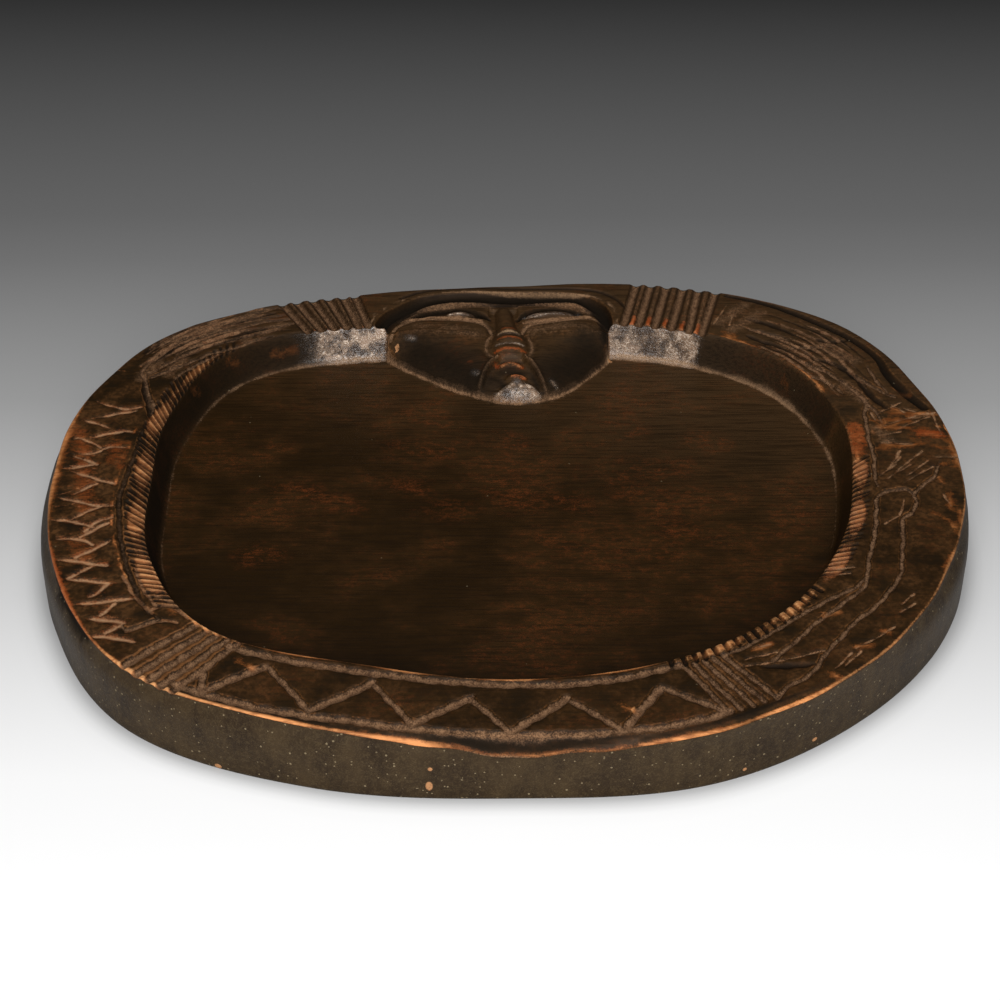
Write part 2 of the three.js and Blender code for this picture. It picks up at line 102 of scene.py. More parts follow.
# How much the border has been rubbed by hands, at the same places
HANDLED = [
    0.75, 0.6, 0.3, 0.3, 0.12, 0.12, 0.2, 0.7,
    1.0, 0.9, 0.7, 0.4, 0.35, 0.4, 0.6, 0.55,
]

# The recess's wall: how far out from the recess's edge, and how high
WALL_OUT = [-9.0, -7.4, -6.4, -5.4, -4.5, -3.8, -0.5, 0.1, 0.8, 1.8]
WALL_HEIGHT = [16.0, 16.05, 16.3, 16.9, 18.0, 20.0, 32.2, 33.4, 33.9, 34.0]

# The outer wall: how far in from its widest, how high as a share of the edge's height, and how
# much of the flare it has
SIDE_INSET = [0.3, 0.2, 0.12, 0.1, 0.1, 0.1, 0.1, 0.1, 0.1, 0.1, 0.12, 0.16, 0.45, 0.9]
SIDE_SHARE = [0.985, 0.95, 0.9, 0.83, 0.75, 0.66, 0.56, 0.46, 0.35, 0.24, 0.14, 0.06, 0.012, 0.0]
SIDE_FLARE = [0.02, 0.12, 0.35, 0.68, 0.88, 0.97, 1.0, 1.0, 1.0, 1.0, 1.0, 1.0, 1.0, 1.0]

# Worn edges
EDGE_ROUND = 1.7
EDGE_DROP = 1.1
FRONT_WEAR_REACH = 4.6
FRONT_WEAR_PLACES = [238, 246, 252, 258, 264, 268, 272, 276, 281, 287, 293, 299, 304, 309, 314]
FRONT_WEAR_DROPS = [0.0, 0.7, 1.5, 3.4, 6.4, 9.0, 9.4, 8.0, 5.6, 3.6, 2.0, 1.2, 1.5, 0.3, 0.0]

# How fine the blank is. Its rings crowd towards both sides of the border.
ANGLE_COUNT = 1920
FINE_FROM = 60.0
FINE_TO = 126.0
FINE_SPACING = 0.62
BORDER_RINGS = 86
RING_CROWDING = 0.012
WALL_STEP = 0.32
WALL_REACH = 7.2
FIELD_START = 7.6
FIELD_STEP = 0.7
FIELD_REACH = 50.0
# The inner rings of the field and of the underside, as shares of the outermost one. On the underside
# a ring keeps one place in 1, 2, 4 or 8.
INNER_SHARES = (0.965, 0.92, 0.86, 0.79, 0.71, 0.63, 0.55, 0.46, 0.37, 0.28, 0.18, 0.08)
UNDER_SHARES = ((0.985, 1), (0.96, 2), (0.9, 4), (0.75, 8), (0.5, 8), (0.25, 8))
TRIANGLE_LIMIT = 196000


def srgb(red, green, blue):
    """A screen colour, 0 to 255, as the linear colour that a material takes."""
    shares = np.array([red, green, blue]) / 255
    linear = np.where(shares <= 0.04045, shares / 12.92, ((shares + 0.055) / 1.055) ** 2.4)
    return (*linear.tolist(), 1.0)


def smooth(low, high, value):
    """0 below low, 1 above high, and smooth between them."""
    share = np.clip((value - low) / (high - low), 0, 1)
    return share * share * (3 - 2 * share)


# The board's plan

def spline(a, b, c, d, f):
    """A smooth curve from b to c, at the share f of the way, with a before them and d after."""
    cubic = (-a + 3 * b - 3 * c + d) * f**3
    square = (2 * a - 5 * b + 4 * c - d) * f**2
    return 0.5 * (2 * b + (c - a) * f + square + cubic)


def wave(degrees, turns, shift=0):
    """A wave that goes up and down so many times round the board."""
    return np.sin(np.radians(degrees * turns + shift))


def periodic(values, degrees):
    """A smooth closed curve through evenly spaced values."""
    values = np.asarray(values)
    count = len(values)
    place = np.mod(degrees, 360) / 360 * count
    i = np.floor(place).astype(int)
    return spline(*(values[(i + k) % count] for k in (-1, 0, 1, 2)), place - i)


def rough_outline(degrees):
    swell = periodic(OUTLINE_SWELL, degrees)
    angle = np.radians(degrees)
    return np.stack([swell * np.cos(angle), swell * np.sin(angle)], -1)


ROUGH = rough_outline(np.arange(0, 360, 0.5))
ROUGH_LOW = ROUGH.min(0)
ROUGH_HIGH = ROUGH.max(0)


def outline(degrees):
    """The outer edge at its widest, fitted to the board's length and depth."""
    centred = rough_outline(degrees) - (ROUGH_LOW + ROUGH_HIGH) / 2
    return centred / (ROUGH_HIGH - ROUGH_LOW) * [RIM_LENGTH, RIM_DEPTH]


def border_width(degrees):
    return BORDER_WIDTH * periodic(BORDER_SWELL, degrees)


def inside_outline(degrees, inset):
    """The point that lies inset in from the outline, along the line to the middle."""
    edge = outline(degrees)
    reach = np.linalg.norm(edge, axis=-1)
    return edge * ((reach - inset) / reach)[..., None]


def flared(degrees):
    """The wall at its widest."""
    return inside_outline(degrees, -periodic(WALL_FLARE, degrees))


FLARED = flared(np.arange(0, 360, 0.5))
MIDDLE = (FLARED.min(0) + FLARED.max(0)) / 2


def in_frame(places):
    """Places on the board, in millimetres from the rim's middle, as places in the frame."""
    places = np.array(places, float)
    places[:, :2] -= MIDDLE
    return places * MM


def border(degrees, share):
    """Border coordinates: an angle, and a share of the width from the recess to the outer edge."""
    degrees = np.asarray(degrees, float)
    return inside_outline(degrees, (1 - np.asarray(share)) * border_width(degrees))


# The plain board, as rings from the middle of the field to the middle of the underside

def ring_angles():
    """Angles that are closer together beside the mask and the reeds."""
    degrees = np.arange(0, 360, 0.05)
    middle = border(degrees, 0.5)
    step = np.linalg.norm(np.roll(middle, -1, 0) - middle, axis=1)
    fine = smooth(FINE_FROM - 4, FINE_FROM, degrees) * (1 - smooth(FINE_TO, FINE_TO + 4, degrees))
    along = np.concatenate([[0], np.cumsum(step / (1 - (1 - FINE_SPACING) * fine))])
    wanted = np.linspace(0, along[-1], ANGLE_COUNT, endpoint=False)
    return np.interp(wanted, along, np.append(degrees, 360))


def front_wear(degrees):
    """How far the front edge is worn down, in millimetres."""
    uneven = 1 + 0.08 * wave(degrees, 31) + 0.06 * wave(degrees, 53)
    return np.interp(degrees, FRONT_WEAR_PLACES, FRONT_WEAR_DROPS, 0, 0) * uneven


def edge_inset(degrees):
    """How far the top's own edge stands in from the outline."""
    waver = 0.25 * wave(degrees, 17) + 0.2 * wave(degrees, 29, 40)
    return 0.5 + waver * 0.6 + front_wear(degrees) * 0.12


def border_ring(degrees, share):
    """A ring on the border. Its share runs from the recess's edge to the worn outer edge."""
    width = border_width(degrees) - edge_inset(degrees)
    inset = border_width(degrees) - share * width
    flat = inside_outline(degrees, inset)
    in_from_edge = (1 - share) * width
    turn = np.clip(1 - in_from_edge / EDGE_ROUND, 0, 1)
    drop = EDGE_DROP * (1 - np.sqrt(1 - 0.98 * turn**2))
    worn = front_wear(degrees) * smooth(0, 1, 1 - in_from_edge / FRONT_WEAR_REACH)
    height = np.interp(share * width, WALL_OUT, WALL_HEIGHT) - drop - worn
    return np.column_stack([flat, height])


def wall_ring(degrees, out):
    """A ring on the recess's wall or on the field near it, out from the recess's edge."""
    flat = inside_outline(degrees, border_width(degrees) - out)
    return np.column_stack([flat, np.full(len(degrees), np.interp(out, WALL_OUT, WALL_HEIGHT))])


def side_ring(degrees, inset, share, flare, edge):
    """A ring on the outer wall, below the top's edge."""
    from_edge = (1 - flare) * (edge_inset(degrees) - SIDE_INSET[0])
    flat = inside_outline(degrees, inset + from_edge - flare * periodic(WALL_FLARE, degrees))
    return np.column_stack([flat, edge[:, 2] * share])


def shrunk(ring, share, height):
    flat = ring[:, :2] * share
    return np.column_stack([flat, np.full(len(ring), height)])


def board_rings():
    """All rings in order, each with its own count: the counts halve towards both middles."""
    degrees = ring_angles()
    shares = np.linspace(0, 1, BORDER_RINGS)
    shares = shares - RING_CROWDING * np.sin(2 * np.pi * shares)
    top = [border_ring(degrees, share) for share in shares]
    walls = [wall_ring(degrees, out) for out in np.arange(-WALL_STEP, -WALL_REACH, -WALL_STEP)]
    half = degrees[::2]
    field = [wall_ring(half, out) for out in np.arange(-FIELD_START, -FIELD_REACH, -FIELD_STEP)]
    inner = [shrunk(field[-1][::2 if share > 0.6 else 4], share, FLOOR) for share in INNER_SHARES]
    sides = [side_ring(degrees, *level, top[-1]) for level in zip(SIDE_INSET, SIDE_SHARE, SIDE_FLARE)]
    under = [shrunk(sides[-1][::thin], share, 0) for share, thin in UNDER_SHARES]
    return {"field": inner[::-1] + field[::-1], "wall": walls[::-1], "top": top, "side": sides + under}


def ring_faces(first, count, second, next_count):
    """Faces between two rings, where the counts are equal or one is twice the other."""
    if count == next_count:
        a = np.arange(count)
        b = (a + 1) % count
        return [np.column_stack([first + a, first + b, second + b, second + a])]
    flip = count > next_count
    wide, narrow = (first, second) if flip else (second, first)
    n = min(count, next_count)
    j = np.arange(n)
    k = (j + 1) % n
    left = [wide + 2 * j, wide + 2 * j + 1, narrow + j]
    middle = [wide + 2 * j + 1, narrow + k, narrow + j]
    right = [wide + 2 * j + 1, wide + (2 * j + 2) % (2 * n), narrow + k]
    order = slice(None) if flip else slice(None, None, -1)
    return [np.column_stack(part[order]) for part in (left, middle, right)]


def board_blank():
    """The plain board's vertices, their parts, and its faces, which point outwards."""
    groups = board_rings()
    rings = [ring for group in groups.values() for ring in group]
    parts = [name for name, group in groups.items() for ring in group for _ in ring] + ["field", "side"]
    counts = [len(ring) for ring in rings]
    starts = np.concatenate([[0], np.cumsum(counts)])
    vertices = np.concatenate([*rings, [[0, 0, FLOOR], [0, 0, 0]]])
    faces = []
    for k in range(len(rings) - 1):
        faces += ring_faces(starts[k], counts[k], starts[k + 1], counts[k + 1])
    top, under = len(vertices) - 2, len(vertices) - 1
    a = np.arange(counts[0])
    faces.append(np.column_stack([(a + 1) % counts[0], a, np.full(counts[0], top)]))
    b = np.arange(counts[-1])
    last = starts[-2]
    faces.append(np.column_stack([last + b, last + (b + 1) % counts[-1], np.full(counts[-1], under)]))
    return vertices, np.array(parts), [face for part in faces for face in part[:, ::-1].tolist()]


# The mask. Its outline is where it meets the field and the hollow round the brow.
MASK_OUTLINE = [
    (-62, 128), (-52, 118), (-31, 102), (-10, 91), (5, 88), (19, 91), (31, 99), (42, 112),
    (51, 126), (50, 140), (43, 152), (20, 158), (-10, 158), (-45, 153), (-58, 142),
]
MASK_SPINE = np.array([-2.7, 133.7])
MASK_TOP = 31.2
BED_DEPTH = 7.0
RIM_Y = 131.0


def catmull(points, step=1.0, closed=False):
    """Points every step along a smooth curve through the given ones; each may carry a third value."""
    points = np.asarray(points, float)
    count = len(points)
    ahead = range(count) if closed else range(count - 1)
    out = []
    for i in ahead:
        places = [(i + k) % count if closed else min(max(i + k, 0), count - 1) for k in (-1, 0, 1, 2)]
        a, b, c, d = (points[place] for place in places)
        pieces = max(1, int(np.ceil(np.linalg.norm((c - b)[:2]) / step)))
        out.append(spline(a, b, c, d, np.arange(pieces)[:, None] / pieces))
    if not closed:
        out.append(points[-1:])
    return np.concatenate(out)


def mask_share(x, y):
    """0 at the mask's middle, 1 on its outline."""
    arms = catmull(MASK_OUTLINE, closed=True) - MASK_SPINE
    angles = np.arctan2(arms[:, 1], arms[:, 0])
    order = np.argsort(angles)
    reach = np.interp(np.arctan2(y - MASK_SPINE[1], x - MASK_SPINE[0]), angles[order],
                      np.linalg.norm(arms, axis=1)[order], period=2 * np.pi)
    return np.hypot(x - MASK_SPINE[0], y - MASK_SPINE[1]) / reach


def dome(x, y, share):
    """The cheeks swell up from the field; on the border the mask stands in its bed."""
    share = np.clip(share, 0, 1)
    on_border = smooth(RIM_Y - 9, RIM_Y + 3, y)
    swelling = FLOOR + (MASK_TOP - FLOOR) * np.sqrt(1 - share**3)
    bed = BOARD_HEIGHT - BED_DEPTH
    steep = bed + (MASK_TOP - bed) * np.sqrt(1 - share**9)
    return swelling + (steep - swelling) * on_border


def near_line(x, y, points):
    """The distance to a polyline, and how far along it the nearest place is, from 0 to 1."""
    points = catmull(points, 1.5)
    best = np.full(x.shape, 1e9)
    place = np.zeros(x.shape)
    for i, (a, b) in enumerate(zip(points[:-1], points[1:])):
        ab = b - a
        t = np.clip(((x - a[0]) * ab[0] + (y - a[1]) * ab[1]) / (ab @ ab), 0, 1)
        gap = np.hypot(x - a[0] - t * ab[0], y - a[1] - t * ab[1])
        closer = gap < best
        best = np.where(closer, gap, best)
        place = np.where(closer, (i + t) / (len(points) - 1), place)
    return best, place


def mound(x, y, middle, radii, turn=0.0):
    """1 in the middle of an oval, and 0 outside it."""
    angle = math.radians(turn)
    dx, dy = x - middle[0], y - middle[1]
    across = (dx * math.cos(angle) + dy * math.sin(angle)) / radii[0]
    along = (-dx * math.sin(angle) + dy * math.cos(angle)) / radii[1]
    return np.sqrt(np.clip(1 - across**2 - along**2, 0, 1))


# Lines on the face, all as places on the board, from left to right
CHEEK_TOPS = [
    [(-60, 130), (-57, 138), (-51, 142.4), (-44, 144.2), (-32, 143.9), (-20, 142.4), (-12, 138.8),
     (-8.2, 132)],
    [(7.4, 133), (10.5, 137.8), (18.6, 141), (31, 143.8), (42, 146), (47, 143.5), (50, 137)],
]
EYE_SLITS = [
    [(-49, 146.6), (-40, 151.4), (-30, 153), (-23, 151.8), (-16, 148.4), (-9.8, 144.4)],
    [(5, 144.4), (10.2, 148.8), (18.8, 152.3), (27.4, 152.9), (38, 149)],
]
EYE_OPENING = 5.6
EYEBALLS = [((-24.5, 148.4), (8.0, 3.4), -6), ((22, 148.6), (14.0, 3.6), 6)]
BROW_LINES = [
    [(-54, 144.5), (-46, 152.5), (-33, 156.4), (-20, 156.6), (-8.5, 155.5)],
    [(4, 156.2), (18, 157.6), (31, 156), (41, 152.4)],
]
NOSE_PLACES = [109.6, 111.0, 113.0, 117, 121, 126, 130.5, 134, 142, 150, 154]
NOSE_MIDDLES = [1.4, 1.4, 1.3, 1.1, 1.0, 0.8, 0.3, -0.5, -1.5, -2.2, -2.6]
NOSE_HALVES = [7.2, 8.4, 9.0, 9.2, 9.0, 8.0, 6.8, 5.4, 4.7, 4.4, 3.6]
NOSE_TOPS = [25.0, 29.2, 31.4, 32.8, 33.6, 33.8, 33.6, 33.4, 33.5, 33.2, 31.2]
NOSE_RIDGES = 8.2
NOSTRILS = [
    [(-7.6, 130.5, 0.8), (-10.4, 124), (-10.9, 118), (-9.4, 113.4), (-4.3, 110.4, 0.7), (1.6, 111.6, 0.5),
     (8.2, 110.2, 0.7), (11.6, 114.6), (12, 121), (10.2, 128, 0.8)],
]
FOLDS = [
    [(-5.4, 110.4), (-10.4, 104), (-13.6, 97), (-15.4, 91.5)],
    [(8.6, 111), (13.2, 104.6), (17.4, 96), (19.8, 91.5)],
]


# How deep or how high each part of the face is cut, in millimetres
CHEEK_GROOVE_DEPTH = 1.3
EYE_DEPTH = 1.9
EYEBALL_RISE = 2.5
SLIT_DEPTH = 1.8
BROW_RISE = 0.9
NOSE_VALLEY_DEPTH = 2.2
NOSE_RIPPLE = 0.5
NOSE_ROUNDING = 3.6
NOSE_BLEND = 0.8
MOUTH_DEPTH = 2.9
NOSTRIL_RISE = 0.9
FOLD_RISE = 1.7
# The upper lip, the lower lip and the chin: the middle, the half sizes and the height of each
MOUTH_SWELLS = [((1.2, 105), (6.4, 2.7), 3.2), ((4, 97.8), (6, 2.5), 2.6), ((5.6, 91.8), (11, 4.6), 2.6)]


def eyes_and_brows(x, y, height):
    """A groove over each cheek, then the eye, sunk under its upper lid, and the brow."""
    for line, slit, (middle, radii, turn) in zip(CHEEK_TOPS, EYE_SLITS, EYEBALLS):
        groove, _ = near_line(x, y, line)
        height = height - CHEEK_GROOVE_DEPTH * (1 - smooth(0.2, 2.1, groove))
        corners = np.array(slit)
        share = np.clip((x - corners[0, 0]) / (corners[-1, 0] - corners[0, 0]), 0, 1)
        lid = np.interp(x, *corners.T)
        low = lid - EYE_OPENING * np.sin(np.pi * share) ** 0.7
        between_corners = (share > 0) & (share < 1)
        open_eye = smooth(-0.9, 0.9, y - low) * (1 - smooth(-0.4, 0.4, y - lid)) * between_corners
        height = height - EYE_DEPTH * open_eye + EYEBALL_RISE * mound(x, y, middle, radii, turn)
        gap, _ = near_line(x, y, slit)
        height = height - SLIT_DEPTH * (1 - smooth(0.3, 1.2, gap))
        height = height + BROW_RISE * smooth(0.2, 1.6, y - lid) * between_corners
    return height


def nose(x, y, height):
    """A bridge between two valleys, and a tip with a few ridges across it."""
    middle = np.interp(y, NOSE_PLACES, NOSE_MIDDLES)
    half = np.interp(y, NOSE_PLACES, NOSE_HALVES)
    top = np.interp(y, NOSE_PLACES, NOSE_TOPS)
    aside = np.abs(x - middle) / half
    along = smooth(107, 112, y) * (1 - smooth(150, 154, y))
    height = height - NOSE_VALLEY_DEPTH * np.exp(-(((aside - 1.1) * half / 3.6) ** 2)) * along
    on_tip = smooth(109, 111, y) * (1 - smooth(131, 133.5, y))
    ripple = NOSE_RIPPLE * np.cos((y - 131) * 2 * np.pi / NOSE_RIDGES) * on_tip
    ridge = top - NOSE_ROUNDING * aside**2.4 + ripple * (1 - np.minimum(aside, 1) ** 2)
    ridge = np.where((aside < 1.6) & (y > 109.6) & (y < 154), ridge, 0)
    overlap = np.clip(0.5 + (ridge - height) / (2 * NOSE_BLEND), 0, 1)
    return height + (ridge - height) * overlap + NOSE_BLEND * overlap * (1 - overlap)


def mouth(x, y, height):
    """A sunk tent between the folds, with the lips in it and the chin below."""
    left, right = (np.array(sorted(line, key=lambda p: p[1])) for line in FOLDS)
    from_left = x - np.interp(y, left[:, 1], left[:, 0])
    from_right = np.interp(y, right[:, 1], right[:, 0]) - x
    tent = smooth(0.4, 2.4, from_left) * smooth(0.4, 2.4, from_right)
    tent = tent * (1 - smooth(110.4, 112, y)) * smooth(89, 93, y)
    height = height - MOUTH_DEPTH * tent
    for middle, radii, top in MOUTH_SWELLS:
        height = height + top * mound(x, y, middle, radii) ** 1.3
    for line in NOSTRILS:
        gap, _ = near_line(x, y, [place[:2] for place in line])
        height = height + NOSTRIL_RISE * (1 - smooth(0.2, 1.6, gap))
    for line in FOLDS:
        gap, place = near_line(x, y, line)
        height = height + (FOLD_RISE - 0.5 * place) * (1 - smooth(0.2, 2.2, gap))
    return height


def mask_height(x, y):
    """The mask's height, and -1 where there is no mask."""
    height = np.full(x.shape, -1.0)
    near = np.flatnonzero((np.abs(x) < 75) & (y > 80))
    share = mask_share(x[near], y[near])
    near, share = near[share < 1], share[share < 1]
    px, py = x[near], y[near]
    here = dome(px, py, share)
    fade = 1 - smooth(0.9, 1.0, share)
    carved = mouth(px, py, nose(px, py, eyes_and_brows(px, py, here)))
    height[near] = here + (carved - here) * fade
    return height


def mask_bed(x, y):
    """How deep the border is cut away under the mask."""
    depth = np.zeros(x.shape)
    near = np.flatnonzero((np.abs(x) < 75) & (y > 80))
    share = mask_share(x[near], y[near])
    depth[near] = BED_DEPTH * (1 - smooth(0.99, 1.03, share))
    return depth


# Strokes: paths on the board, with how wide and how deep each family is

def heft(places):
    """Places with a third value, which is how heavy the stroke is there."""
    return [(*place, 1.0) if len(place) == 2 else place for place in places]


def on_border(*places, step=1.0):
    """A smooth path through border coordinates."""
    dense = catmull([(degrees * 3.0, share * 40, weight) for degrees, share, weight in heft(places)], step)
    flat = border(dense[:, 0] / 3.0, dense[:, 1] / 40)
    return np.column_stack([flat, dense[:, 2]])


def on_board(*places):
    """A smooth path through places on the board."""
    return catmull(heft(places), 1.0)


def border_paths(lines):
    return [on_border(*line) for line in lines]


def board_paths(lines):
    return [on_board(*line) for line in lines]


def straight(first, last, weights=(1.0, 1.0)):
    """A straight stroke between two border places."""
    ends = border(np.array([first[0], last[0]]), np.array([first[1], last[1]]))
    count = max(2, int(np.linalg.norm(ends[1] - ends[0])))
    return np.linspace([*ends[0], weights[0]], [*ends[1], weights[1]], count)


def beside_recess(degrees, out, weight=1.0):
    """A path that keeps its distance from the recess's edge, and fades out where it meets the mask."""
    flat = inside_outline(degrees, border_width(degrees) - out)
    clear = smooth(1.0, 1.06, mask_share(flat[:, 0], flat[:, 1]))
    return np.column_stack([flat, weight * clear])


# The plain grooves inside and outside the front's zigzag
FRONT_INNER_GROOVE = [
    (230, 0.12), (238, 0.125), (245, 0.13), (255, 0.11), (265, 0.1), (280, 0.13), (290, 0.11), (294, 0.1),
]
FRONT_OUTER_GROOVE = [
    (230.5, 0.88), (245, 0.88), (250, 0.845), (255, 0.85), (262, 0.86, 0.85), (268, 0.872, 0.72),
    (275, 0.872, 0.72), (283, 0.86, 0.85), (290, 0.85), (294.8, 0.82),
]


def front_zigzag():
    """Straight cuts from turn to turn, deeper towards the recess than back."""
    outer = [(234, 0.86), (246.5, 0.8), (258.5, 0.8), (269.7, 0.86), (282.4, 0.85), (294.2, 0.79)]
    inner = [(237.1, 0.27), (251.3, 0.26), (264.5, 0.33), (277, 0.35), (289.5, 0.33)]
    strokes = [straight((231.2, 0.56), outer[0], (0.9, 1.0))]
    for i, turn in enumerate(inner):
        strokes.append(straight(outer[i], turn, (1.0, 1.08)))
        strokes.append(straight(turn, outer[i + 1], (0.72, 0.85)))
    return strokes


# The knife-cut zigzag at the left, cut by cut, and the scratches across it
KNIFE_CUTS = [
    [(159, 0.86, 0.6), (159.6, 0.51), (158.2, 0.34, 0.7)], [(159.4, 0.38), (161.8, 0.6), (163.5, 0.8, 0.5)],
    [(164.3, 0.88, 0.6), (164.4, 0.75), (165.7, 0.51, 0.6)],
    [(165.6, 0.4, 1.3), (167.5, 0.6), (169, 0.73, 0.6)], [(165.6, 0.4), (165.8, 0.23, 0.5)],
    [(169.4, 0.89, 0.5), (169, 0.79), (171.4, 0.53, 0.7)],
    [(170.4, 0.47), (172.5, 0.63), (173.4, 0.85, 0.5)], [(170.6, 0.47), (170.2, 0.24, 0.5)],
    [(173.6, 0.82, 0.7), (175.7, 0.57, 1.2)], [(175.7, 0.6, 1.2), (176.8, 0.8), (177, 0.89, 0.6)],
    [(177.8, 0.81, 0.6), (178.6, 0.68), (180.8, 0.42), (181.1, 0.3, 0.5)],
    [(181.1, 0.53), (182.4, 0.65), (184, 0.76, 0.6)],
    [(184.6, 0.9, 0.5), (185.3, 0.78), (186, 0.67), (187.2, 0.46), (187.3, 0.33, 0.6)],
    [(187.3, 0.46), (188.8, 0.6), (190.6, 0.76, 0.7)],
    [(190.4, 0.93, 0.5), (190.8, 0.75, 1.2), (192.8, 0.52, 0.8)],
    [(190.7, 0.33, 0.8), (191.7, 0.5), (193.7, 0.61)], [(192.3, 0.37), (193.4, 0.5, 1.3), (195.1, 0.66)],
    [(194.7, 0.9, 0.6), (195.7, 0.66, 1.2), (197.5, 0.55)],
    [(197, 0.36, 0.7), (198.6, 0.54, 1.2), (200, 0.74)],
    [(199.8, 0.93, 0.6), (200.4, 0.8, 1.2), (202.3, 0.56, 1.3), (203.2, 0.46)],
    [(202.6, 0.6), (203.9, 0.81), (204.3, 0.88)], [(204.3, 0.88), (206.5, 0.62, 1.3), (207.6, 0.52, 1.4)],
    [(207.4, 0.52, 1.2), (208.8, 0.64), (209.5, 0.76, 0.7)],
    [(209.9, 0.95, 0.6), (211, 0.72, 1.2), (211.8, 0.46, 1.3), (212.5, 0.35, 0.8)],
    [(212.4, 0.55, 1.2), (213.7, 0.75)], [(213.8, 0.87, 0.8), (214.5, 0.76, 1.6), (216.9, 0.58, 0.9)],
    [(217, 0.64), (217.4, 0.82, 1.1)], [(217.2, 0.94, 0.8), (218.7, 0.8, 1.5), (221, 0.66, 0.8)],
]
KNIFE_SCRATCHES = [
    ((199.7, 0.97), (202.7, 0.29)), ((207.6, 0.5), (208.5, 0.3)), ((211.9, 0.45), (213, 0.28)),
    ((150.7, 0.99), (149.9, 0.73)), ((187, 0.44), (186.6, 0.3)), ((172.4, 0.86), (173.2, 0.55)),
    ((214.2, 0.72), (217.6, 0.42)), ((190, 0.98), (190.2, 0.78)),
]


def knife_slips():
    """Stray lines across the worn stretch of the knife-cut zigzag."""
    rng = np.random.default_rng(7)
    lines = []
    for degrees in np.concatenate([np.arange(166, 216, 3.1), np.arange(172, 190, 1.3)]):
        low = rng.uniform(0.36, 0.68)
        lean = rng.uniform(-2.0, 2.0)
        lines.append(straight((degrees, low), (degrees + lean, low + rng.uniform(0.15, 0.35)), (0.4, 1)))
    return lines + fan(KNIFE_SCRATCHES, (0.9, 0.6))


# A hand's slow stray, its quick stray and its changes of pressure: how long each is, in millimetres
HAND_WAVES = (27, 11, 8)


def wander(paths, reach=0.4, seed=1):
    """Paths as a hand cuts them: each strays to both sides, and its heft changes along it."""
    rng = np.random.default_rng(seed)
    strayed = []
    for path in paths:
        path = np.array(path, float)
        steps = np.linalg.norm(np.diff(path[:, :2], axis=0), axis=1)
        along = np.concatenate([[0], np.cumsum(steps)])
        slow, quick, swell = (np.sin(along * 2 * np.pi / long + rng.uniform(0, 6.3)) for long in HAND_WAVES)
        heading = np.gradient(path[:, :2], axis=0)
        heading /= np.linalg.norm(heading, axis=1, keepdims=True)
        aside = reach * (0.6 * slow + 0.4 * quick)
        path[:, :2] += np.column_stack([-heading[:, 1], heading[:, 0]]) * aside[:, None]
        path[:, 2] *= 1 + 0.13 * swell
        strayed.append(path)
    return strayed


def nicks(start, stop, slant, pitch, width, reach=-1.4, seed=1):
    """Slanting cuts across the lip at the recess's edge. Slant is along the edge, over the width."""
    rng = np.random.default_rng(seed)
    strokes = []
    degrees = start
    while degrees < stop:
        here, there = border(degrees, 0.0), border(degrees + 1, 0.0)
        turn = 1 / np.linalg.norm(there - here)
        lean = slant * turn * rng.uniform(0.85, 1.15)
        inner = inside_outline(np.array(degrees), border_width(degrees) - reach)
        outer = inside_outline(np.array(degrees + lean), border_width(degrees + lean) - width)
        strokes.append(np.linspace([*inner, 1.0], [*outer, rng.uniform(0.65, 0.9)], 8))
        degrees += pitch * turn * rng.uniform(0.9, 1.1)
    return strokes


def combed(start, stop, first_shares, last_shares, count, seed):
    """Fine lines side by side along the border, each a part of the way. They spread over the
    first shares at the start and over the last shares at the stop."""
    rng = np.random.default_rng(seed)
    lines = []
    for turn in np.linspace(0, 1, count) + rng.uniform(-0.02, 0.02, count):
        begin, end = rng.uniform(0, 0.45), rng.uniform(0.55, 1)
        ends = [first + (last - first) * turn for first, last in (first_shares, last_shares)]
        places = [(start + (stop - start) * part, ends[0] + (ends[1] - ends[0]) * part, weight)
                  for part, weight in ((begin, 0.5), ((begin + end) / 2, 1.0), (end, 0.5))]
        lines.append(on_border(*places))
    return lines


def fan(pairs, weights=(1.0, 1.0)):
    return [straight(first, last, weights) for first, last in pairs]


def hatched(places, lean, first_share, last_share, weights):
    """A band of cuts side by side across the border."""
    return fan([((degrees, first_share), (degrees + lean, last_share)) for degrees in places], weights)


LEFT_BAND = hatched([222.9, 225.1, 226.9, 228.7, 230.4], 1.2, 0.04, 1.04, (0.85, 1.05))
RIGHT_BAND = hatched([294.6, 296.1, 297.7, 299.2, 300.8], 0.1, 0.14, 0.84, (1.0, 0.9))


def reeds(outer_degrees, inner_degrees):
    """The hollows between reeds, each from just past the outer edge to just past the recess's edge."""
    return [((outer, 1.06), (inner, -0.1)) for outer, inner in zip(outer_degrees, inner_degrees)]


RIGHT_REEDS = reeds((62.1, 64.4, 66.4, 68.6, 70.7, 72.6), (56.6, 58.8, 61.9, 64.7, 67.5, 70))
LEFT_REEDS = reeds((112.5, 114.1, 116.2, 118.3, 120.5, 122.4), (114.7, 116.2, 118, 119.9, 121.9, 124))


def between(pairs, start=0.0, stop=1.0):
    """Strokes down the middles between neighbouring hollows, over part of their length."""
    lines = []
    for first, second in zip(pairs[:-1], pairs[1:]):
        outer, inner = (np.mean([first[k], second[k]], axis=0) for k in (0, 1))
        lines.append((tuple(outer + (inner - outer) * start), tuple(outer + (inner - outer) * stop)))
    return lines


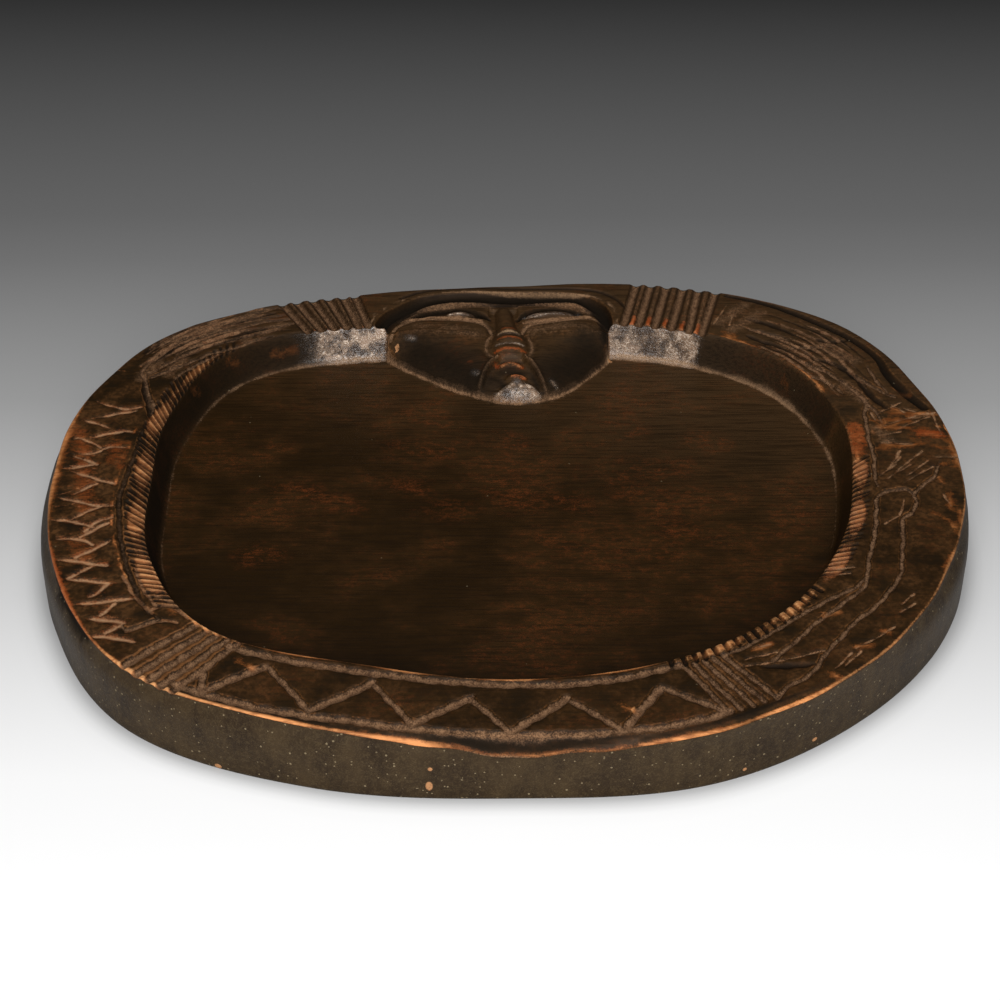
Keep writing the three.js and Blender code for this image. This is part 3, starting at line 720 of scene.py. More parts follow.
HOLLOW_LINE = [
    (72.6, -0.12), (73.8, 0.1), (75, 0.3), (77, 0.49), (80, 0.63), (85, 0.71), (90, 0.73), (95, 0.745),
    (100, 0.725), (104, 0.65), (107, 0.48), (109.8, 0.28), (111.8, 0.06), (112.8, -0.12),
]
ARCH_LINE = [
    (71.6, 0), (72.4, 0.2), (73.8, 0.38), (75.8, 0.56), (79, 0.69), (84, 0.77), (90, 0.81), (96, 0.855),
    (101, 0.85), (105, 0.76), (108.8, 0.55), (111.2, 0.36), (113.2, 0.15), (114.5, 0),
]
ARCH_GROOVE = [
    (72.2, 0.42), (73.8, 0.58), (76.8, 0.76), (80, 0.84), (85, 0.88), (90, 0.91), (95, 0.955), (100, 0.955),
    (103.5, 0.9), (106.6, 0.76),
]

RIBBON_CUTS = [
    [(300.8, 0.86, 1.3), (303, 0.79), (306, 0.77), (309, 0.72), (312, 0.65), (315, 0.6), (320, 0.57),
     (325, 0.6), (330, 0.63), (335, 0.61), (342, 0.52), (348, 0.47), (350.5, 0.53), (353.5, 0.56),
     (355.7, 0.54), (358.4, 0.62), (361, 0.72), (365, 0.8, 0.6)],
    [(305.5, 0.44), (310, 0.37), (315, 0.33), (320, 0.32), (325, 0.37), (328, 0.4), (331, 0.37),
     (335, 0.32), (340, 0.27), (346, 0.25), (350, 0.22), (355, 0.23), (356.9, 0.38), (357.3, 0.47),
     (355.7, 0.54, 0.7)],
    [(301, 0.14), (305, 0.16), (311.4, 0.14), (320, 0.18), (324, 0.25), (327, 0.33), (331, 0.36, 0.7)],
    [(358, 0.22, 0.7), (363, 0.2), (369, 0.2), (375, 0.2), (380, 0.25), (384, 0.35), (390, 0.31),
     (394, 0.25), (399, 0.16), (403.5, 0.16, 0.6)],
    [(377, 0.38, 0.7), (382, 0.38), (388, 0.33)], [(387.5, 0.2, 0.6), (391.5, 0.16), (395, 0.02, 0.5)],
    [(383.6, 0.68, 0.7), (387.6, 0.54), (393.5, 0.45, 0.6)],
    [(385, 0.64, 0.6), (389, 0.64), (392.7, 0.67, 0.7)],
    [(405.4, 0.37, 0.7), (408, 0.34, 1.3), (412, 0.33, 0.7)],
    [(400, 0.6, 0.6), (401.4, 0.46), (403.2, 0.32), (404.7, 0.17, 0.6)],
    [(124, 0.88, 0.8), (128, 0.92), (133, 0.9), (140, 0.87), (145, 0.88, 0.7)],
    [(123, 0.86, 0.7), (126, 0.83), (131, 0.75), (136, 0.71), (140, 0.73), (145, 0.7), (149, 0.69),
     (152, 0.5), (157, 0.24), (160, 0.2, 0.6)],
    [(123, 0.45, 0.7), (129, 0.5), (132, 0.5), (136, 0.55), (142, 0.6), (146, 0.66, 0.7)],
    [(123.6, 0.33, 0.6), (129, 0.2), (132, 0.2), (135, 0.25), (139, 0.37), (144, 0.48), (150.5, 0.57, 0.7)],
    [(129, 0.36, 0.5), (134, 0.4), (139, 0.47), (143, 0.55, 0.6)],
    [(129, 0.03, 0.6), (135, 0.05), (139.5, 0.17), (144.5, 0.3), (150, 0.5)],
    [(137, 0.02, 0.5), (142, 0.14), (149, 0.24, 0.7)],
    [(124, 0.6, 0.6), (130, 0.62), (136, 0.62), (141, 0.66, 0.6)],
    [(150.5, 0.56, 0.8), (153.5, 0.44), (155.5, 0.34), (158, 0.22)],
    [(216.9, 0.62, 0.8), (218.4, 0.6), (218.7, 0.42, 1.2), (218.8, 0.28)],
]
LEAF_CUTS = [
    [(381.5, 0.51, 0.8), (386, 0.45, 1.1), (391, 0.46), (395.6, 0.4), (399, 0.29, 0.6)],
    [(303.3, 0.45, 0.5), (306, 0.57), (309.1, 0.69, 0.5)],
    [(137, 0.66, 0.5), (141, 0.66, 0.8), (146, 0.64, 0.5)],
    [(406, 0.48, 0.5), (410, 0.53, 0.8), (414, 0.52, 0.6)],
    [(404.5, 0.2, 0.6), (408, 0.17, 0.8), (411, 0.19, 0.6)],
    [(400, 0.8, 0.6), (401.4, 0.64, 0.8), (403.2, 0.58, 0.6)],
    [(125, 0.7, 0.5), (130, 0.68, 0.8), (135, 0.66, 0.5)],
    [(127, 0.3, 0.5), (131, 0.3, 0.8), (134, 0.32, 0.5)],
]
RIM_GROOVES = [
    [(379.5, 0.88, 1.2), (383, 0.82, 1.4), (386, 0.8, 1.5), (390, 0.8, 1.2), (394, 0.86), (400, 0.86),
     (405, 0.85), (410, 0.88), (415, 0.93), (420, 0.93, 0.7)],
    [(124, 1.0, 0.5), (130, 0.98, 0.8), (136, 0.95, 0.7), (145, 0.92, 0.5)],
]
LIGHT_STROKES = [
    ((364.2, 0.35), (368.6, 0.46)), ((361.3, 0.25), (366.9, 0.45)), ((360.1, 0.3), (368.1, 0.66)),
    ((358.9, 0.44), (363.7, 0.73)), ((361.9, 0.27), (364.7, 0.4)), ((362.4, 0.41), (364.5, 0.53)),
    ((360.6, 0.46), (365.4, 0.69)), ((367, 0.4), (368.6, 0.46)), ((380, 0.37), (381.9, 0.69)),
    ((376.4, 0.38), (378.2, 0.89)), ((374.8, 0.49), (377.1, 0.88)), ((376.9, 0.67), (377.9, 0.96)),
    ((381.9, 0.58), (379.2, 0.66)), ((382.6, 0.34), (378.4, 0.33)), ((380.3, 0.67), (378.7, 0.77)),
    ((371.8, 0.26), (370.2, 0.59)), ((373.7, 0.3), (374.1, 0.52)), ((366.2, 0.74), (366, 0.98)),
    ((354.5, 0.46), (349.4, 0.43)), ((349.4, 0.43), (346.6, 0.32)), ((372, 0.9), (378, 0.93)),
    ((418.5, 0.7), (417.4, 0.26)), ((416.6, 0.55), (415, 0.3)), ((318, 0.83), (322, 0.87)),
    ((315, 0.78), (318, 0.82)), ((327, 0.78), (330, 0.83)), ((325, 0.82), (328, 0.88)),
    ((310, 0.84), (314, 0.8)), ((311, 0.88), (315, 0.84)), ((353, 0.86), (356, 0.8)),
    ((302.5, 0.3), (307.2, 0.37)), ((301.6, 0.37), (306.5, 0.49)), ((306.5, 0.49), (312.1, 0.62)),
    ((304.9, 0.21), (307.8, 0.26)), ((328.1, 0.01), (330.7, 0.23)), ((329.4, -0.02), (332.6, 0.22)),
]
# The plain groove that runs along the outside of the left cable
CABLE_BOUND = [
    (160, 0.19, 0.5), (165, 0.19, 0.6), (170, 0.2, 0.7), (175, 0.22), (180, 0.26), (185, 0.28), (190, 0.27),
    (195, 0.25), (205, 0.26), (210, 0.28), (215, 0.3), (219, 0.28, 0.6),
]
# Where the left cable meets the front's hatched band
JUNCTION = [
    [(216, 0.25), (216.4, 0.08), (218.5, 0.05), (221.1, 0.04)],
    [(206.6, 0.34), (210.5, 0.33), (216.8, 0.28)], [(205.3, 0.19), (210.8, 0.2), (215.8, 0.2)],
    [(218.6, 0.63), (218.7, 0.45), (219.1, 0.28), (220.9, 0.17)],
    [(213.5, 0.12), (216, 0.03), (219, -0.01)],
]
# Fine lines that run along the far side's ribbons
LEFT_LIGHT_LINES = combed(124, 151, (0.12, 0.93), (0.56, 0.92), 6, 1)
LIGHT_LINES = combed(385, 415, (0.06, 0.7), (0.08, 0.78), 9, 2)
LEFT_DARK_LINES = combed(124, 151, (0.1, 0.94), (0.54, 0.93), 7, 3)
RIGHT_DARK_LINES = combed(385, 415, (0.1, 0.72), (0.1, 0.8), 8, 4)
CABLE_CREST = [
    (162, 0.27, 0.6), (170, 0.28), (176, 0.31), (182, 0.35), (190, 0.34), (197, 0.32), (205, 0.32),
    (211, 0.33, 0.6),
]
LEFT_NOTCH = [(151.5, 0.54, 0.6), (154, 0.44), (157, 0.29), (160, 0.2, 0.7)]


# By angle: how heavy the dust at the foot of the recess's wall is, and how bright the outer edge is
FLOOR_DUST = [
    (0, 0.42), (24, 0.75), (36, 1.1), (100, 1.1), (125, 0.95), (136, 0.7), (150, 0.5), (205, 0.4), (215, 0),
    (330, 0), (350, 0.34), (361, 0.42),
]
EDGE_WEAR = [
    (0, 0.75), (26, 0.7), (40, 0.5), (140, 0.5), (170, 1), (195, 0.8), (216, 0.8), (225, 1.3), (262, 1.5),
    (270, 0.7), (284, 0.9), (300, 1.1), (361, 0.75),
]


def floor_line():
    """Dust along the foot of the recess's wall: none under the mask, and little at the left."""
    degrees = np.arange(0, 361, 0.5)
    weight = np.interp(degrees, *np.transpose(FLOOR_DUST))
    uneven = 0.8 + 0.25 * wave(degrees, 23) * np.cos(np.radians(degrees * 37 + 50))
    return [beside_recess(degrees, -6.2, weight * uneven)]


def outer_rim():
    degrees = np.arange(0, 361, 0.5)
    inset = edge_inset(degrees) + 0.4
    flat = inside_outline(degrees, inset)
    strong = 0.75 + 0.25 * wave(degrees, 9, 20) * wave(degrees, 14)
    return [np.column_stack([flat, strong * np.interp(degrees, *np.transpose(EDGE_WEAR))])]


def recess_lip(start, stop, out, weight):
    degrees = np.arange(start, stop, 0.5)
    return [beside_recess(degrees, out, weight * (0.8 + 0.3 * wave(degrees, 23)))]


def along_recess(stretches, out):
    return [beside_recess(np.arange(start, stop, 0.5), out) for start, stop in stretches]


def mask_rim():
    ring = catmull(MASK_OUTLINE, closed=True)
    low = ring[ring[:, 1] < 133]
    order = np.argsort(low[:, 0])
    uneven = 0.85 + 0.2 * np.sin(low[order][:, 0] * 0.45) * np.sin(low[order][:, 0] * 0.21)
    return [np.column_stack([low[order], uneven])]


# What a stroke can do, and the layer of the mesh that holds it
# Shade is painted shade, laid in cuts, gaps, slits and hollows where shadow falls
LAYERS = {
    "Depth": "cut", "Dust": "dust", "Bare": "bare", "Red": "red",
    "Shade": "shade", "Gloss": "gloss", "Pale": "pale",
}


def strokes(name, paths, width, squareness=2.0, shoulder=1.0, top_only=True, **amounts):
    """One family of strokes. The depth is in millimetres, and the other amounts go up to 1. The
    squareness flattens the section's bottom, and the shoulder rounds its sides off."""
    return {"name": name, "paths": paths, "width": width, "squareness": squareness, "shoulder": shoulder,
            "top_only": top_only, "amounts": amounts}


def border_cuts():
    """The border's gouges, from the front round to the far side. Their Shade is painted shade in gaps,
    grooves and hollows.
    """
    front_inner = border_paths([FRONT_INNER_GROOVE])
    front_outer = border_paths([FRONT_OUTER_GROOVE])
    knife = border_paths(KNIFE_CUTS)
    return [
        strokes("front_inner_groove", wander(front_inner), 4.3, 2.6, Depth=1.7, Dust=0.82),
        strokes("front_outer_groove", wander(front_outer, seed=2), 4.5, 2.4, Depth=2.0, Dust=0.82),
        strokes("front_zigzag", wander(front_zigzag(), 0.3, 3), 4.3, 2.6, Depth=1.8, Dust=0.86),
        strokes("left_band", wander(LEFT_BAND, 0.3, 4), 4.6, 2.6, Depth=2.2, Dust=0.8),
        strokes("right_band", wander(RIGHT_BAND, 0.2, 5), 3.0, 2.2, Depth=1.9, Dust=0.72),
        strokes("knife_wear", wander(knife, 0.6, 26), 8.5, 1.5, Bare=0.42, Red=0.3),
        strokes("knife_zigzag", wander(knife, 0.4, 6), 3.1, 1.5, Depth=0.9, Bare=0.85, Dust=0.66,
                Pale=0.45),
        strokes("knife_slips", wander(knife_slips(), 0.2, 7), 1.4, 1.2, Depth=0.35, Bare=0.75, Dust=0.55),
        strokes("left_cable", nicks(151, 197, -10.5, 4.0, 8.8, seed=3), 3.1, 1.4, 1.2, Depth=2.2,
                Shade=1.0),
        strokes("left_beads", nicks(197, 219, -6.4, 3.7, 8.2, seed=9), 2.8, 1.5, 1.2, Depth=2.2, Shade=1.0),
        strokes("upper_cable", nicks(137, 151, -6.4, 3.8, 6.6, seed=14), 2.4, 1.4, 1.2, Depth=1.4,
                Shade=0.9),
        strokes("right_cable", nicks(327.5, 365, 6.5, 3.5, 7.6, seed=4), 2.1, 1.4, 1.3, Depth=1.5,
                Shade=0.8),
        strokes("teeth", nicks(294, 325, -2.6, 5.2, 5.4, reach=-2.6, seed=5), 2.8, 2.0, Depth=2.5,
                Shade=1.0),
        strokes("cable_bound", wander(border_paths([CABLE_BOUND]), seed=8), 3.0, 2.0, 1.2, Depth=1.3,
                Shade=0.5, Dust=0.42),
        strokes("left_notch", wander(border_paths([LEFT_NOTCH]), 0.2, seed=15), 3.4, 2.0, 1.2, Depth=2.2,
                Shade=0.8, Dust=0.4),
        strokes("right_reeds", fan(RIGHT_REEDS, (1.0, 1.0)), 6.8, 1.5, 1.6, Depth=3.0, Dust=0.82),
        strokes("left_reeds", fan(LEFT_REEDS, (1.0, 1.0)), 7.0, 1.5, 1.7, Depth=3.1, Dust=0.68),
        strokes("junction", wander(border_paths(JUNCTION), 0.4, 23), 2.8, 1.6, Depth=0.7, Dust=0.72,
                Bare=0.8),
        strokes("brow_hollow", border_paths([HOLLOW_LINE]), 7.2, 2.6, Depth=5.2, Shade=1.0),
        strokes("arch_groove", border_paths([ARCH_GROOVE]), 2.6, 2.0, 1.3, Depth=1.1, Shade=0.4),
        strokes("ribbon_cuts", wander(border_paths(RIBBON_CUTS), 0.5, 10), 2.7, 1.8, 1.2, Depth=1.5,
                Dust=0.7),
        strokes("leaf_cuts", wander(border_paths(LEAF_CUTS), 0.3, 11), 4.4, 1.8, 1.4, Depth=1.5,
                Shade=0.65),
        strokes("left_light_lines", wander(LEFT_LIGHT_LINES, 0.6, 24), 5.8, 1.8, 1.2, Depth=0.4, Dust=0.86,
                Bare=0.6, Red=0.25),
        strokes("light_lines", wander(LIGHT_LINES, 0.5, 21), 3.6, 1.6, 1.2, Depth=0.3, Dust=0.82, Bare=0.62,
                Red=0.2),
        strokes("dark_lines", wander(LEFT_DARK_LINES + RIGHT_DARK_LINES, 0.5, 22), 1.6, 1.6, 1.2,
                Depth=0.8, Shade=0.8),
        strokes("rim_grooves", border_paths(RIM_GROOVES), 4.4, 2.0, 1.3, Depth=2.2, Shade=0.95),
        strokes("light_strokes", wander(fan(LIGHT_STROKES, (0.7, 1.0)), 0.3, 12), 2.0, 1.3, Depth=0.8,
                Dust=0.7, Bare=0.75, Pale=0.3),
    ]


# Marks that only colour the surface. First the worn places on the border, by angle and share
LEFT_RUBBED = [
    [(168, 0.82), (174, 0.72), (181, 0.66), (188, 0.6)], [(170, 0.42), (175, 0.36)],
    [(196, 0.7), (200, 0.66)],
]
RIGHT_RUBBED = [
    [(375.1, 0.26), (377.4, 0.42)], [(369.7, 0.25), (369.7, 0.47)], [(380.7, 0.57), (377.4, 0.68)],
    [(380.3, 0.59), (378, 0.72)], [(375.7, 0.38), (376.9, 0.66)], [(371, 0.33), (369.4, 0.53)],
    [(351, 0.7), (349.7, 0.81), (346.7, 0.96)], [(356.9, 0.84), (354.4, 0.86), (352.4, 0.85)],
    [(360.5, 0.77), (358.5, 0.81)], [(364.2, 0.82), (363.5, 0.92)], [(342, 0.98), (337, 0.96)],
    [(352.5, 0.93), (348.7, 0.97)], [(368.9, 0.8), (368.2, 0.9), (366.9, 0.99)],
    [(368.3, 0.05), (366.8, 0.05)], [(385.5, 0.74), (383.6, 0.84)], [(305, 0.24), (307.7, 0.26)],
    [(318.7, 0.31), (320.8, 0.4)], [(308.8, 0.85), (309.3, 0.96)], [(315.3, 0.76), (316.7, 0.86)],
    [(320.3, 0.79), (320.5, 0.88)], [(372.6, 0.62), (370.9, 0.63), (369.9, 0.73)],
    [(375.5, 0.28), (375, 0.6)], [(378.4, 0.3), (377, 0.62)], [(379.6, 0.5), (377.5, 0.95)],
    [(370.5, 0.3), (369.8, 0.62)], [(370.5, 0.93), (367.5, 0.95), (363, 0.96)],
]
SMALL_BARE_SPOTS = [
    [(283, 0.5), (285, 0.62)], [(233, 0.3), (236, 0.35)], [(30.5, 0.02), (32.5, 0.04)],
    [(52, 0.1), (54.5, 0.13)],
]
# Rough dusty places, and worn spots on the recess's wall
ROUGH_PATCHES = [
    [(56.8, 0.3), (56.5, 0.8)], [(54, 0.2), (53.5, 0.7)], [(127, 0.75), (134, 0.62)],
    [(126, 0.3), (133, 0.15)], [(146, 0.62), (151, 0.6)], [(143, 0.4), (148, 0.35)],
    [(40.5, 0.55), (35, 0.62)], [(30, 0.28), (25, 0.33)], [(16, 0.3), (12, 0.36)],
]
WALL_GLINTS = [
    [(130.5, -0.07), (126, -0.08)], [(138.5, -0.03), (136, -0.06)], [(40.5, -0.05), (38.5, -0.06)],
    [(149, -0.03), (146.5, -0.05)],
]
# Reddish wear on the field and the face, as places on the board
FIELD_WEAR = [
    [(-53, 48), (-40, 49), (-30, 47)], [(-2, 55), (6, 54)], [(-8, 20), (1, 21), (8, 16)],
    [(-3, 10), (6, 6)], [(56, 36), (68, 32), (82, 34)], [(55, 70), (62, 66)], [(84, 14), (72, 10)],
    [(68, 2), (76, 0)], [(52, 18), (60, 14)], [(74, -13), (84, -16)], [(66, -30), (74, -33)],
    [(16, -22), (24, -24)], [(-52, 20), (-42, 18)], [(-28, 3), (-20, 0)], [(-104, 17), (-92, 14)],
    [(-84, 8), (-74, 4)], [(92, 58), (102, 54)], [(22, 10), (34, 4)], [(-118, -34), (-108, -33)],
]
CHEEK_SPOT = [((-19.6, 108.6), (-18.4, 107.8))]

# The worn front ridge and the top of its facet, both with painted shade along them, the facet's pale
# line, the bright rims at the left, and the edge of the round worn patch at the right
FRONT_RIDGE_SHADE = [
    [(228, 0.945, 0.6), (236, 0.945), (246, 0.94), (256, 0.93, 0.7)],
    [(284, 0.93, 0.7), (292, 0.92), (300, 0.9), (306, 0.92, 0.5)],
]
FACET_TOP_SHADE = [(257, 0.91, 0.6), (264, 0.915), (270, 0.918), (277, 0.915), (284, 0.905, 0.6)]
FACET_LINE = [(264, 0.967, 0.5), (270, 0.97), (277, 0.967, 0.5)]
LEFT_RIM = [(160, 0.985, 0.6), (168, 0.98), (180, 0.98), (190, 0.99, 0.7)]
NEAR_LEFT_RIM = [(192, 0.985, 0.5), (200, 0.985), (210, 0.985), (219, 0.985, 0.6)]
ROUND_PATCH_EDGE = [[(14.3, 0.6), (14.7, 0.8), (13.9, 0.97)], [(13.7, 0.97), (11.6, 0.985), (8.4, 0.99)]]
# Dust, wear, polish with its painted sheen and glints, painted light and painted shade on the face, as
# places on the board
EYEBALL_SHINE = [
    [(-31, 147.4, 0.7), (-24, 147.6), (-18, 146.6, 0.6)], [(9, 145.6), (20, 147.6), (36, 148.6, 0.8)],
]
NOSE_PALE = [[(-5, 127.8, 0.8), (0.6, 128.4), (6, 127.8, 0.8)]]
NOSE_GLINTS = [[(-4.5, 127), (5.5, 127)], [(-6, 118.4, 0.8), (8, 118.4, 0.8)]]
NOSE_WEAR = [[(-3, 131), (4, 131)], [(-5, 122.4), (7, 122.4)], [(-6.4, 114.4, 1.3), (8.6, 114.4, 1.3)]]
LIP_WEAR = [[(-5, 105.6, 1.5), (1, 106.4, 1.7), (6, 105.4, 1.5)], [(2, 98.4), (8, 97.8)]]
MOUTH_SHADE = [[(-9, 99), (-5, 98), (-2, 94)], [(-5, 102), (8, 101.8)], [(12, 100), (15, 95)]]
# Where painted shade darkens the lower cheeks, and where painted light lightens their tops
CHEEK_SHADED_SIDES = [[(-46, 120), (-30, 109), (-18, 100)], [(24, 101), (34, 110), (44, 123)]]
CHEEK_LIT_SWELLS = [[(-46, 135), (-30, 134), (-16, 130)], [(12, 132), (28, 136), (44, 135)]]
LIDS = [
    [(-50, 144), (-40, 146), (-28, 144.6), (-14, 141.8)], [(8, 140.4), (20, 143), (32, 144.6), (42, 147.2)],
]
FACE_GLINTS = [[(-51, 129), (-48, 128)], [(-17, 102), (-15, 101)], [(22, 97), (24.4, 96)]]


def surface_marks():
    """Dust, bare wood, reddish wear and polish that lie on the surface, with painted shade, painted light
    on the cheeks and the polish's painted sheen.
    """
    reed_feet = fan(between(RIGHT_REEDS, 0.76, 0.93)) + fan(between(LEFT_REEDS, 0.88, 0.97), (0.5, 0.7))
    return [
        strokes("floor_dust", floor_line(), 4.6, 1.6, 1.0, False, Dust=0.95, Pale=0.15),
        strokes("mask_dust", mask_rim(), 3.4, 1.5, 1.0, False, Dust=0.88, Pale=0.05),
        strokes("wall_foot_dust", along_recess([(57.5, 76), (103, 120)], -5.3), 2.6, 1.8, 1.0, False,
                Dust=0.85, Pale=0.3),
        strokes("foot_pale", along_recess([(99, 110), (74, 78)], -5.4), 2.4, 1.8, 1.0, False, Dust=0.8,
                Pale=0.75),
        strokes("wall_shade", along_recess([(24, 57), (121, 205)], -3.0), 7.5, 3.0, 1.0, False, Shade=0.7),
        strokes("face_dust", board_paths(CHEEK_TOPS), 3.4, 1.5, Dust=0.72, Pale=0.05),
        strokes("nose_dust", board_paths(NOSTRILS + FOLDS), 3.4, 1.4, Dust=0.58),
        # Painted light: the cheeks' upper halves lighter, laid as dust
        strokes("cheek_tops", board_paths(CHEEK_LIT_SWELLS), 17.0, 1.5, Dust=0.44),
        strokes("lid_dust", board_paths(LIDS), 3.8, 1.8, Dust=0.8),
        strokes("brow_dust", board_paths(BROW_LINES), 9.0, 1.8, Dust=0.54),
        strokes("brow_shadow", border_paths([HOLLOW_LINE]), 6.0, 6.0, Shade=1.0),
        strokes("nose_pale", board_paths(NOSE_PALE), 3.0, 1.8, Dust=0.8, Pale=0.5),
        strokes("arch_dust", border_paths([ARCH_LINE]), 2.2, 1.6, Dust=0.78, Pale=0.2),
        strokes("reed_ridges", fan(between(RIGHT_REEDS, 0.02, 0.8)), 4.6, 1.6, Bare=0.3, Dust=0.42,
                Red=0.2),
        strokes("left_reed_ridges", fan(between(LEFT_REEDS, 0.05, 0.85)), 4.0, 1.8, Bare=0.22, Dust=0.42),
        strokes("reed_feet", reed_feet, 4.0, 1.6, Bare=0.75, Red=1.0),
        strokes("rough_patches", border_paths(ROUGH_PATCHES), 13.0, 1.8, Dust=0.46, Bare=0.3),
        strokes("wall_glints", border_paths(WALL_GLINTS), 2.6, 1.6, 1.0, False, Bare=0.62),
        strokes("outer_rim", outer_rim(), 3.2, 1.8, Bare=1.0),
        strokes("left_rim", border_paths([LEFT_RIM]), 9.0, 1.8, Bare=0.95),
        strokes("near_left_rim", border_paths([NEAR_LEFT_RIM]), 5.4, 1.8, Bare=0.8, Red=0.85),
        strokes("front_lip", recess_lip(206, 295, 0.8, 1.0), 3.2, 1.6, Bare=1.0),
        strokes("right_lip", recess_lip(26, 57, 1.7, 0.85), 2.8, 1.6, Bare=0.9),
        strokes("facet_top", border_paths([FACET_TOP_SHADE]), 2.4, 2.4, Shade=0.85),
        strokes("facet_line", border_paths([FACET_LINE]), 1.6, 1.8, Dust=0.85),
        strokes("front_ridge", border_paths(FRONT_RIDGE_SHADE), 2.4, 2.4, Shade=0.85),
        strokes("cable_ridges", recess_lip(151, 219, 4.0, 1.0), 9.6, 4.0, Bare=0.86, Dust=0.36, Red=0.15),
        strokes("upper_cable_ridges", recess_lip(136, 151, 3.0, 1.0), 6.0, 3.0, Bare=0.7, Dust=0.3),
        strokes("right_cable_ridges", recess_lip(-33, 6, 3.8, 1.0), 8.2, 4.0, Bare=0.78, Dust=0.46,
                Red=0.35),
        strokes("tooth_ridges", recess_lip(294, 325, 2.4, 1.0), 6.4, 3.0, Bare=0.8),
        strokes("cable_crest", wander(border_paths([CABLE_CREST]), 0.3, 16), 2.4, 1.6, Bare=0.85),
        strokes("left_rubbed", border_paths(LEFT_RUBBED), 17.0, 1.8, Bare=0.54, Red=0.3),
        strokes("right_rubbed", border_paths(RIGHT_RUBBED), 5.6, 1.6, Bare=0.72),
        strokes("right_bare_block", [on_border((9.4, 0.06), (13, 0.08), (17.4, 0.09))], 10.6, 4.0,
                Bare=0.64, Red=0.6),
        strokes("right_round_patch", [on_border((12.8, 0.7), (12.2, 0.88))], 9.6, 3.0, Bare=0.62, Red=0.75),
        strokes("round_patch_edge", border_paths(ROUND_PATCH_EDGE), 2.4, 1.6, Bare=1.0, Pale=0.2),
        strokes("small_bare_spots", border_paths(SMALL_BARE_SPOTS), 5.0, 1.6, Bare=0.8),
        strokes("field_wear", board_paths(FIELD_WEAR), 20.0, 1.4, 1.0, False, Red=0.75),
        strokes("face_wear", board_paths(CHEEK_SPOT), 3.6, 1.6, Bare=0.8, Red=0.7),
        strokes("nose_wear", board_paths(NOSE_WEAR), 3.4, 1.6, Bare=0.56, Red=0.75),
        strokes("lip_wear", board_paths(LIP_WEAR), 4.6, 1.6, Bare=0.62, Red=0.85),
        # Gloss on the eyes, the nose and the chin, which also lays the film's painted sheen and glints
        strokes("polish", board_paths(EYEBALL_SHINE), 4.8, 2.2, Gloss=1.0),
        strokes("nose_polish", board_paths(NOSE_GLINTS), 3.4, 1.6, Gloss=0.7),
        strokes("chin_polish", [on_board((-5, 89, 0.7), (3, 91.4), (10, 91.6), (16, 89, 0.6))], 10.0, 1.8,
                Gloss=0.9),
        strokes("glints", board_paths(FACE_GLINTS), 4.0, 1.4, Gloss=0.45),
        strokes("eye_slits", board_paths(EYE_SLITS), 3.2, 2.4, Shade=1.0),
        strokes("dark_eye_corner", [on_board((-43, 148.4), (-34, 150.4))], 4.0, 1.8, Shade=0.7),
        strokes("mouth_dark", board_paths(MOUTH_SHADE), 5.0, 1.6, Shade=0.9),
        # Painted shade on the lower cheeks
        strokes("cheek_lows", board_paths(CHEEK_SHADED_SIDES), 34.0, 1.8, Shade=0.95),
        strokes("field_scratch", [on_board((14, -102.2, 0.4), (20, -107.5, 1.0), (26, -112.4, 0.6))], 4.6,
                1.5, 1.0, False, Pale=0.9),
        strokes("cheek_plug", [on_board((-56.9, 125.8), (-56.3, 126))], 3.6, 3.0, 1.0, False, Pale=1.0),
        strokes("corner_dust", [on_board((52.4, 126.4), (53, 125.2))], 4.0, 1.6, 1.0, False, Pale=1.0),
    ]


def new_mesh(name, places, edges, faces):
    """A mesh from places on the board, in millimetres."""
    mesh = bpy.data.meshes.new(name)
    mesh.from_pydata(in_frame(places).tolist(), edges, faces)
    return mesh


def add_object(name, data):
    piece = bpy.data.objects.new(name, data)
    bpy.context.scene.collection.objects.link(piece)
    return piece


def path_object(name, paths):
    """The paths as loose edges at height 0, with how heavy they are. It is deleted after the carving."""
    starts = np.cumsum([0] + [len(path) for path in paths])
    edges = [(a + i, a + i + 1) for a, path in zip(starts, paths) for i in range(len(path) - 1)]
    points = np.concatenate(paths)
    mesh = new_mesh(name, np.column_stack([points[:, :2], np.zeros(len(points))]), edges, [])
    set_layer(mesh, "heft", points[:, 2])
    return add_object(name, mesh)


# Node trees

def wire(tree, kind, values=None, out=0, **settings):
    """Adds a node, feeds its inputs with numbers or sockets, and returns one of its outputs."""
    node = tree.nodes.new(kind)
    for key, value in settings.items():
        setattr(node, key, value)
    for key, value in (values or {}).items():
        if isinstance(value, bpy.types.NodeSocket):
            tree.links.new(value, node.inputs[key])
        else:
            node.inputs[key].default_value = value
    return node.outputs[out] if node.outputs else None


def maths(tree, operation, first, second=0.0, clamp=False):
    return wire(tree, "ShaderNodeMath", {0: first, 1: second}, operation=operation, use_clamp=clamp)


def times(tree, first, second, clamp=False):
    return maths(tree, "MULTIPLY", first, second, clamp)


def plus(tree, first, second, clamp=False):
    return maths(tree, "ADD", first, second, clamp)


def minus(tree, first, second, clamp=False):
    return maths(tree, "SUBTRACT", first, second, clamp)


def larger(tree, first, second):
    return maths(tree, "MAXIMUM", first, second)


def rising(tree, value, low, high):
    """0 below low, 1 above high, and smooth between them."""
    return wire(tree, "ShaderNodeMapRange", {"Value": value, "From Min": low, "From Max": high},
                interpolation_type="SMOOTHSTEP")


def axes(tree, place):
    """The X, Y and Z of a place."""
    return wire(tree, "ShaderNodeSeparateXYZ", {0: place}).node.outputs


def layer(tree, name):
    return wire(tree, "GeometryNodeInputNamedAttribute", {"Name": name}, data_type="FLOAT")


def keep(tree, geometry, name, value):
    values = {"Geometry": geometry, "Name": name, "Value": value}
    return wire(tree, "GeometryNodeStoreNamedAttribute", values, data_type="FLOAT", domain="POINT")


def blurred(tree, value, times_over):
    values = {"Value": value, "Iterations": times_over}
    return wire(tree, "GeometryNodeBlurAttribute", values, data_type="FLOAT")


